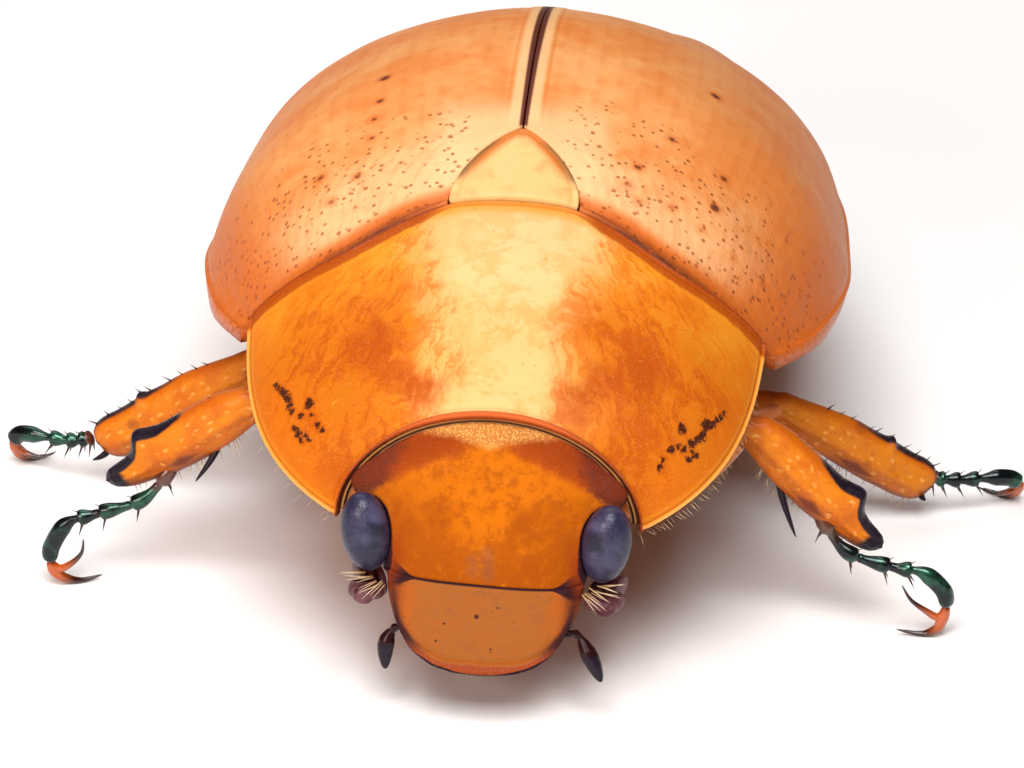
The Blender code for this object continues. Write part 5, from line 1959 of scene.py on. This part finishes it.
LEG_PLANS = (
    LegPlan("right_front", FRONT_SHIN, 0.52, 3.77, (-0.8, -6.8, 2.1), (-2.5, -6.6, 2.75),
            (-2.95, -6.6, 3.0), (-4.72, -6.45, 4.4), (-5.15, -6.5, 4.52), (-7.72, -6.15, 2.98),
            (-0.5, 0.0, 0.86), (0.28, -6.3, -6.8, 2.85),
            ((-6.7, -6.3, 3.1), (-7.4, -6.46, 2.22), (-8.4, -6.47, 1.8), (-9.0, -6.48, 1.56),
             (-9.34, -6.46, 1.0), (-9.4, -6.44, 0.62)),
            ((-9.4, -6.42, 0.6), (-9.3, -6.38, 0.34), (-9.1, -6.3, 0.15), (-8.78, -6.2, 0.06),
             (-8.35, -6.05, 0.14)),
            ((-9.36, -6.42, 0.58), (-9.2, -6.4, 0.42), (-8.93, -6.45, 0.6), (-8.72, -6.48, 0.88),
             (-8.68, -6.5, 1.22))),
    LegPlan("left_front", FRONT_SHIN, 0.52, 3.74, (0.8, -6.8, 2.1), (2.5, -6.6, 2.75),
            (2.95, -6.6, 3.0), (4.72, -6.5, 4.45), (5.15, -6.6, 4.55), (7.28, -6.45, 2.76),
            (0.62, 0.0, 0.78), (0.28, 6.1, -7.0, 2.4),
            ((6.4, -6.5, 2.95), (7.1, -6.75, 2.04), (8.1, -6.75, 1.7), (8.72, -6.74, 1.6),
             (9.15, -6.7, 1.2), (9.25, -6.62, 0.8)),
            ((9.24, -6.6, 0.76), (9.16, -6.58, 0.44), (9.05, -6.56, 0.2), (8.75, -6.55, 0.06),
             (8.22, -6.6, 0.16)),
            ((9.22, -6.6, 0.72), (9.08, -6.6, 0.5), (8.8, -6.7, 0.7), (8.5, -6.74, 0.95),
             (8.3, -6.76, 1.3))),
    LegPlan("right_mid", HIND_SHIN, 0.46, 4.05, (-0.9, -1.9, 1.5), (-2.65, -2.1, 2.15),
            (-3.05, -2.15, 2.35), (-5.25, -2.65, 3.42), (-5.68, -2.62, 3.4), (-8.95, -2.02, 1.34),
            (-0.53, 0.0, 0.85), (0.97, -9.05, -2.35, 0.85),
            ((-9.1, -1.96, 1.2), (-9.28, -1.9, 1.1), (-9.7, -1.75, 0.98), (-10.3, -1.55, 0.95),
             (-10.72, -1.38, 0.88), (-10.92, -1.28, 0.66)),
            ((-10.92, -1.22, 0.62), (-10.88, -1.12, 0.4), (-10.78, -1.0, 0.16), (-10.5, -0.9, 0.06),
             (-10.1, -0.82, 0.14)),
            ((-10.9, -1.2, 0.58), (-10.84, -1.1, 0.42), (-10.62, -1.25, 0.34), (-10.3, -1.3, 0.3),
             (-9.98, -1.28, 0.44))),
    LegPlan("left_mid", HIND_SHIN, 0.46, 3.85, (0.9, -1.9, 1.5), (2.65, -2.1, 2.15),
            (3.05, -2.15, 2.3), (5.25, -2.4, 3.02), (5.68, -2.32, 2.88), (8.6, -1.42, 1.1),
            (0.5, 0.0, 0.86), (0.97, 8.65, -1.75, 0.62),
            ((8.74, -1.38, 1.0), (8.92, -1.32, 0.92), (9.4, -1.15, 0.84), (10.0, -0.95, 0.82),
             (10.4, -0.8, 0.76), (10.6, -0.7, 0.6)),
            ((10.62, -0.62, 0.56), (10.6, -0.5, 0.38), (10.5, -0.36, 0.16), (10.24, -0.25, 0.06),
             (9.85, -0.15, 0.14)),
            ((10.6, -0.6, 0.52), (10.55, -0.5, 0.38), (10.35, -0.62, 0.32), (10.05, -0.66, 0.3),
             (9.72, -0.62, 0.42))),
    LegPlan("right_hind", HIND_SHIN, 0.6, 3.95, (-0.6, 1.2, 1.5), (-2.95, 1.7, 1.85),
            (-3.3, 1.95, 2.0), (-5.0, 4.1, 2.85), (-5.2, 4.55, 2.85), (-5.65, 8.2, 1.5),
            (-0.9, 0.0, 0.42), (0.97, -5.35, 8.75, 0.95),
            ((-5.67, 8.3, 1.35), (-5.68, 8.52, 1.24), (-5.7, 9.2, 1.05), (-5.6, 10.1, 0.9),
             (-5.45, 10.75, 0.8), (-5.35, 11.05, 0.6)),
            ((-5.3, 11.12, 0.58), (-5.2, 11.3, 0.4), (-5.05, 11.38, 0.16), (-4.85, 11.25, 0.06),
             (-4.72, 10.9, 0.14)),
            ((-5.3, 11.1, 0.54), (-5.25, 11.28, 0.4), (-5.35, 11.5, 0.32), (-5.5, 11.6, 0.3),
             (-5.7, 11.5, 0.36))),
    LegPlan("left_hind", HIND_SHIN, 0.6, 3.95, (0.6, 1.2, 1.5), (2.95, 1.7, 1.85),
            (3.3, 1.95, 2.0), (5.0, 4.1, 2.85), (5.2, 4.55, 2.85), (5.6, 8.2, 1.5),
            (0.9, 0.0, 0.42), (0.97, 5.3, 8.75, 0.95),
            ((5.62, 8.3, 1.35), (5.63, 8.52, 1.24), (5.65, 9.2, 1.05), (5.55, 10.1, 0.9),
             (5.4, 10.75, 0.8), (5.3, 11.05, 0.6)),
            ((5.25, 11.12, 0.58), (5.15, 11.3, 0.4), (5.0, 11.38, 0.16), (4.8, 11.25, 0.06),
             (4.67, 10.9, 0.14)),
            ((5.25, 11.1, 0.54), (5.2, 11.28, 0.4), (5.3, 11.5, 0.32), (5.45, 11.6, 0.3),
             (5.65, 11.5, 0.36))),
)


@dataclass
class Leg:
    """One leg: hip, thigh, flat shin with its teeth and spur, five-jointed foot and two claws."""

    plan: LegPlan
    coxa_radii: tuple[float, float] = (0.66, 0.54)
    coxa_reach: float = 0.66
    bead_share: float = 0.13
    joint_radii: tuple[float, float] = (0.10, 0.175)
    neck_radius: float = 0.085
    claw_radii: Sizes = (0.09, 0.125, 0.115, 0.09, 0.055, 0.012)
    small_claw_radii: Sizes = (0.06, 0.09, 0.075, 0.055, 0.035, 0.01)
    spur_radii: Sizes = (0.06, 0.075, 0.05, 0.01)
    thigh_radii: Sizes = (0.6, 0.85, 1.05, 0.98, 0.68, 0.45)
    spines: int = 10
    shin_hairs: int = 24
    thigh_hairs: int = 30

    def __post_init__(self) -> None:
        """Finds the shin's directions: ahead, up within its broad face, and to its side."""
        self.start = Vector(self.plan.shin)
        self.ahead = (Vector(self.plan.ankle) - self.start).normalized()
        across = Vector(self.plan.across)
        self.up = (across - self.ahead * across.dot(self.ahead)).normalized()
        self.side = self.ahead.cross(self.up)

    def shin_point(self, share: float, level: float) -> Vector:
        """Point of the shin's middle plane.

        Args:
            share: share of its length.
            level: place across it, from -1 to 1.
        Returns:
            The point.
        """
        _, high, low = row_at(self.plan.shape.outline, share)
        height = mix(low, high, (level + 1.0) / 2.0)
        return self.start + self.ahead * self.plan.length * share + self.up * height

    def coxa(self) -> BMesh:
        """Barrel set in the under side.

        Returns:
            The mesh.
        """
        start, end = Vector(self.plan.coxa), Vector(self.plan.coxa_out)
        turn = (end - start).to_track_quat("Z", "Y").to_matrix().to_4x4()
        radii = (*self.coxa_radii, (end - start).length * self.coxa_reach)
        return ball((start + end) / 2, radii, turn, 48, 32)

    def femur(self) -> BMesh:
        """Thick upper joint that ends inside the root of the shin.

        Returns:
            The mesh.
        """
        hip, knee = Vector(self.plan.hip), Vector(self.plan.knee)
        middle = (hip + knee) / 2 + Vector((0.0, 0.0, -0.08))
        root = hip.lerp(Vector(self.plan.coxa_out), 1.1)
        beyond = knee.lerp(self.start, 0.8)
        radii = [self.plan.thick * share for share in self.thigh_radii]
        return rod((root, hip, middle, knee, beyond), radii, 40, 60, 0.85)

    def tibia(self) -> BMesh:
        """Flat shin whose outline carries the teeth, with a movable spur.

        Returns:
            The mesh.
        """
        plan = self.plan
        first = plan.shape.outline[0][0]

        def surface(u: float, v: float) -> Vector:
            """Point of the shin, with more of the rows near its teeth.

            Args:
                u: place across, 0 to 1.
                v: place along, 0 to 1.
            Returns:
                The point.
            """
            share = mix(first, 1.0, 1.0 - (1.0 - v) ** 1.3)
            c, s = math.cos(math.tau * u), math.sin(math.tau * u)
            thick = row_at(plan.shape.thick, share)[1]
            return (self.shin_point(share, math.copysign(abs(s) ** 0.8, s))
                    + self.side * thick * math.copysign(abs(c) ** 0.9, c))

        bm = sleeve(64, 130, surface)
        shares = [mix(first, 1.0, i / 199) for i in range(200)]
        edges = {name: tree_of([self.shin_point(share, level) for share in shares])
                 for name, level in (("upper", 1.0), ("lower", -1.0))}
        layers = {name: bm.verts.layers.float.new(name) for name in ("along", "upper", "lower")}
        for vert in bm.verts:
            flat = vert.co - self.side * (vert.co - self.start).dot(self.side)
            vert[layers["along"]] = (flat - self.start).dot(self.ahead) / plan.length
            for name, tree in edges.items():
                vert[layers[name]] = tree.find(flat)[2]
            vert.co += self.side * 0.02 * noise.noise(vert.co * 2.5)
        share, *tip = plan.spur
        base = self.shin_point(share, -0.8)
        middle = base.lerp(Vector(tip), 0.5) - self.up * 0.03
        spur = rod((base, middle, tip), self.spur_radii, 12, 20, marks={"along": lambda u, v: 2.0})
        return gathered([bm, spur])

    def tarsus(self) -> BMesh:
        """Four short flared joints and a long arched last one.

        Returns:
            The mesh.
        """
        last = 4 * self.bead_share

        def radius(share: float) -> float:
            """Radius of the foot.

            Args:
                share: share of its length.
            Returns:
                The radius.
            """
            if share < last:
                local = share / self.bead_share % 1.0
                flare = mix(*self.joint_radii, smooth_step(0.1, 0.75, local))
                return mix(flare, self.neck_radius, smooth_step(0.86, 1.0, local))
            local = (share - last) / (1.0 - last)
            swell = 0.1 * smooth_step(0.0, 0.3, local) - 0.045 * smooth_step(0.82, 1.0, local)
            return self.neck_radius + swell

        return above_floor(rod(self.plan.tarsus, radius, 28, 170, 0.85, blunt=30, marks=ALONG))

    def claws(self) -> BMesh:
        """A large and a small hooked claw."""
        pairs = ((self.plan.claw, self.claw_radii), (self.plan.small_claw, self.small_claw_radii))
        return above_floor(gathered([rod(path, radii, 18, 50, marks=ALONG) for path, radii in pairs]))

    def bristle(self, dark: Bristles, pale: Bristles) -> None:
        """Spines along the shin and under the foot, hairs on thigh and shin.

        Args:
            dark: piece that takes the spines.
            pale: piece that takes the hairs.
        """
        draw = dark.draw
        front = self.plan.shape is FRONT_SHIN
        for i in range(self.spines):
            even = (i + draw.uniform(-0.3, 0.3)) / (self.spines - 1)
            share = mix(0.2, 0.62 if front else 0.95, even)
            way = self.up + self.ahead * draw.uniform(0.1, 0.9)
            dark.add(self.shin_point(share, 0.95), way, draw.uniform(0.08, 0.14) * (1 if front else 1.9))
        for _ in range(self.shin_hairs):
            share = draw.uniform(0.1, 0.95)
            way = self.ahead * draw.uniform(0.1, 0.6) - self.up + self.side * draw.uniform(-0.4, 0.4)
            pale.add(self.shin_point(share, -0.9), way, draw.uniform(0.25, 0.5))
        for i in range(4):
            share = (i + 0.82) * self.bead_share
            centre = Vector(spline(self.plan.tarsus, share))
            forward = (spline(self.plan.tarsus, share + 0.02) - centre).normalized()
            across, over = frame_along(forward, Vector((0.0, 0.0, 1.0)))
            for turn in (-0.5, 0.5):
                dark.add(centre - over * 0.12 + across * turn * 0.15,
                         forward * 0.6 - over + across * turn * 0.6, 0.3)
            dark.add(centre + over * 0.12, forward * 0.9 + over * 0.7, 0.18)
        hip, knee = Vector(self.plan.hip), Vector(self.plan.knee)
        for _ in range(self.thigh_hairs):
            root = hip.lerp(knee, draw.uniform(0.1, 1.0))
            way = Vector((draw.uniform(-0.5, 0.5), -1.0, draw.uniform(-0.6, 0.8)))
            pale.add(root + way.normalized() * self.plan.thick * 0.8, way, draw.uniform(0.2, 0.4))

    def build(self, shell: bpy.types.Material, shin: bpy.types.Material, foot: bpy.types.Material,
              claw: bpy.types.Material) -> None:
        """Makes the five pieces of the leg.

        Args:
            shell: finish of hip and thigh.
            shin: finish of the shin.
            foot: finish of the foot.
            claw: finish of the claws.
        """
        for part, bm, finish, slot in (("coxa", self.coxa(), shell, Slot.LEG),
                                       ("femur", self.femur(), shell, Slot.LEG),
                                       ("tibia", self.tibia(), shin, Slot.LEG),
                                       ("tarsus", self.tarsus(), foot, Slot.TARSUS),
                                       ("claws", self.claws(), claw, Slot.CLAW)):
            node = f"{self.plan.name}_{part}"
            place_piece(f"{node}_skin", bm, finish, slot, (node,))


@dataclass(frozen=True)
class Softbox:
    """A studio light with an even rectangular face."""

    name: str
    place: Point
    width: float
    height: float
    brightness: float
    colour: Colour = (1.0, 1.0, 1.0)

    def build(self, target: Vector) -> None:
        """Hangs the light and turns it to the target.

        Args:
            target: point that the light looks at.
        """
        data = bpy.data.lights.new(self.name, "AREA")
        data.color = self.colour
        data.shape = "RECTANGLE"
        data.size = self.width * MM
        data.size_y = self.height * MM
        data.energy = self.brightness * math.pi * data.size * data.size_y
        obj = linked(self.name, data)
        obj.location = Vector(self.place) * MM
        way = target - Vector(self.place)
        obj.rotation_euler = way.to_track_quat("-Z", "Y").to_euler()


@dataclass
class Studio:
    """White floor, soft lights and the camera."""

    target: Point = (0.14, -6.0, 5.08)
    distance: float = 150.0
    turn_degrees: float = 4.3
    rise_degrees: float = 27.3
    roll_degrees: float = 1.0
    lens: float = 257.5
    floor_half: float = 600.0
    sky: float = 0.11
    sky_colour: Colour = (1.0, 0.60, 0.50)
    lights: tuple[Softbox, ...] = (
        Softbox("key_light", (4.0, -88.0, 131.0), 90.0, 76.0, 13.2),
        Softbox("low_light", (-62.0, -125.0, 62.0), 70.0, 50.0, 10.0, (1.0, 0.80, 0.72)),
        Softbox("back_light", (-30.0, 70.0, 135.0), 120.0, 120.0, 1.8))

    def camera(self) -> None:
        """Looks down on the beetle's face from in front."""
        turn, rise, roll_angle = (math.radians(a) for a in
                                  (self.turn_degrees, self.rise_degrees, self.roll_degrees))
        back = Vector((math.sin(turn) * math.cos(rise), -math.cos(turn) * math.cos(rise), math.sin(rise)))
        level = Vector((math.cos(turn), math.sin(turn), 0.0))
        upright = back.cross(level)
        right = level * math.cos(roll_angle) + upright * math.sin(roll_angle)
        up = upright * math.cos(roll_angle) - level * math.sin(roll_angle)
        place = Matrix((right, up, back)).transposed().to_4x4()
        place.translation = (Vector(self.target) + back * self.distance) * MM
        data = bpy.data.cameras.new("camera")
        data.lens = self.lens
        data.sensor_width = 36.0
        data.clip_start = 0.001
        obj = linked("camera", data)
        obj.matrix_world = place
        bpy.context.scene.camera = obj

    def floor(self) -> None:
        """Plain white ground."""
        bm = bmesh.new()
        bmesh.ops.create_grid(bm, x_segments=1, y_segments=1, size=self.floor_half * MM)
        mesh = to_mesh("floor", bm)
        paint = Paint("floor_white", (0.9, 0.9, 0.9), 0.8, 0.2)
        mesh.materials.append(paint.material)
        obj = linked("floor", mesh)

    def build(self) -> None:
        """Sets up the floor, lights, sky and camera."""
        self.floor()
        for light in self.lights:
            light.build(Vector(self.target))
        world = bpy.data.worlds.new("studio")
        world.use_nodes = True
        inputs = world.node_tree.nodes["Background"].inputs
        inputs["Color"].default_value = (*self.sky_colour, 1.0)
        inputs["Strength"].default_value = self.sky
        scene = bpy.context.scene
        scene.world = world
        scene.view_settings.view_transform = "Standard"
        self.camera()


def main() -> None:
    """Builds the studio and the beetle, from head to feet."""
    logging.basicConfig(level=logging.INFO, format="%(name)s %(message)s")
    Studio().build()
    eyes = Eyes()
    eyes.build()
    Head(eyes).build()
    feelers = Feelers()
    feelers.build()
    plate = Pronotum()
    plate.build()
    Scutellum().build()
    wing = WingFinish().make()
    for side in Side:
        WingCase(side=side).build(wing)
    body = Underside()
    body.build()
    orange = ShellFinish("thigh_orange", (0.588, 0.160, 0.017), (0.353, 0.076, 0.010), 0.32, 0.3).make()
    front_shin = ShinFinish("front_shin", 0.85, 0.15).make()
    hind_shin = ShinFinish("hind_shin", 0.97, 0.03, 0.4).make()
    foot, claw = FootFinish().make(), ClawFinish().make()
    pale, dark = Bristles("pale_hairs", 30.0), Bristles("dark_spines", 9.0, 0.04)
    stiff, teeth = Bristles("eye_bristles", 29.0, 0.05), Bristles("lip_teeth", 5.0, 0.0)
    for plan in LEG_PLANS:
        leg = Leg(plan)
        leg.build(orange, front_shin if plan.shape is FRONT_SHIN else hind_shin, foot, claw)
        leg.bristle(dark, pale)
    feelers.fan(stiff)
    plate.side_bristles(pale)
    plate.lip_bristles(teeth)
    body.pelt(pale)
    body.tail_fringe(pale)
    straw = BristleFinish("straw_hair", (0.378, 0.235, 0.101), (0.722, 0.605, 0.403)).make()
    soot = BristleFinish("dark_hair", (0.042, 0.013, 0.010), (0.010, 0.007, 0.008), 0.3).make()
    rust = BristleFinish("rust_hair", (0.420, 0.101, 0.017), (0.210, 0.042, 0.013)).make()
    pale.build(straw, Slot.UNDERSIDE)
    stiff.build(straw, Slot.HEAD)
    dark.build(soot, Slot.LEG)
    teeth.build(rust, Slot.PRONOTUM)


if __name__ == "__main__":
    main()
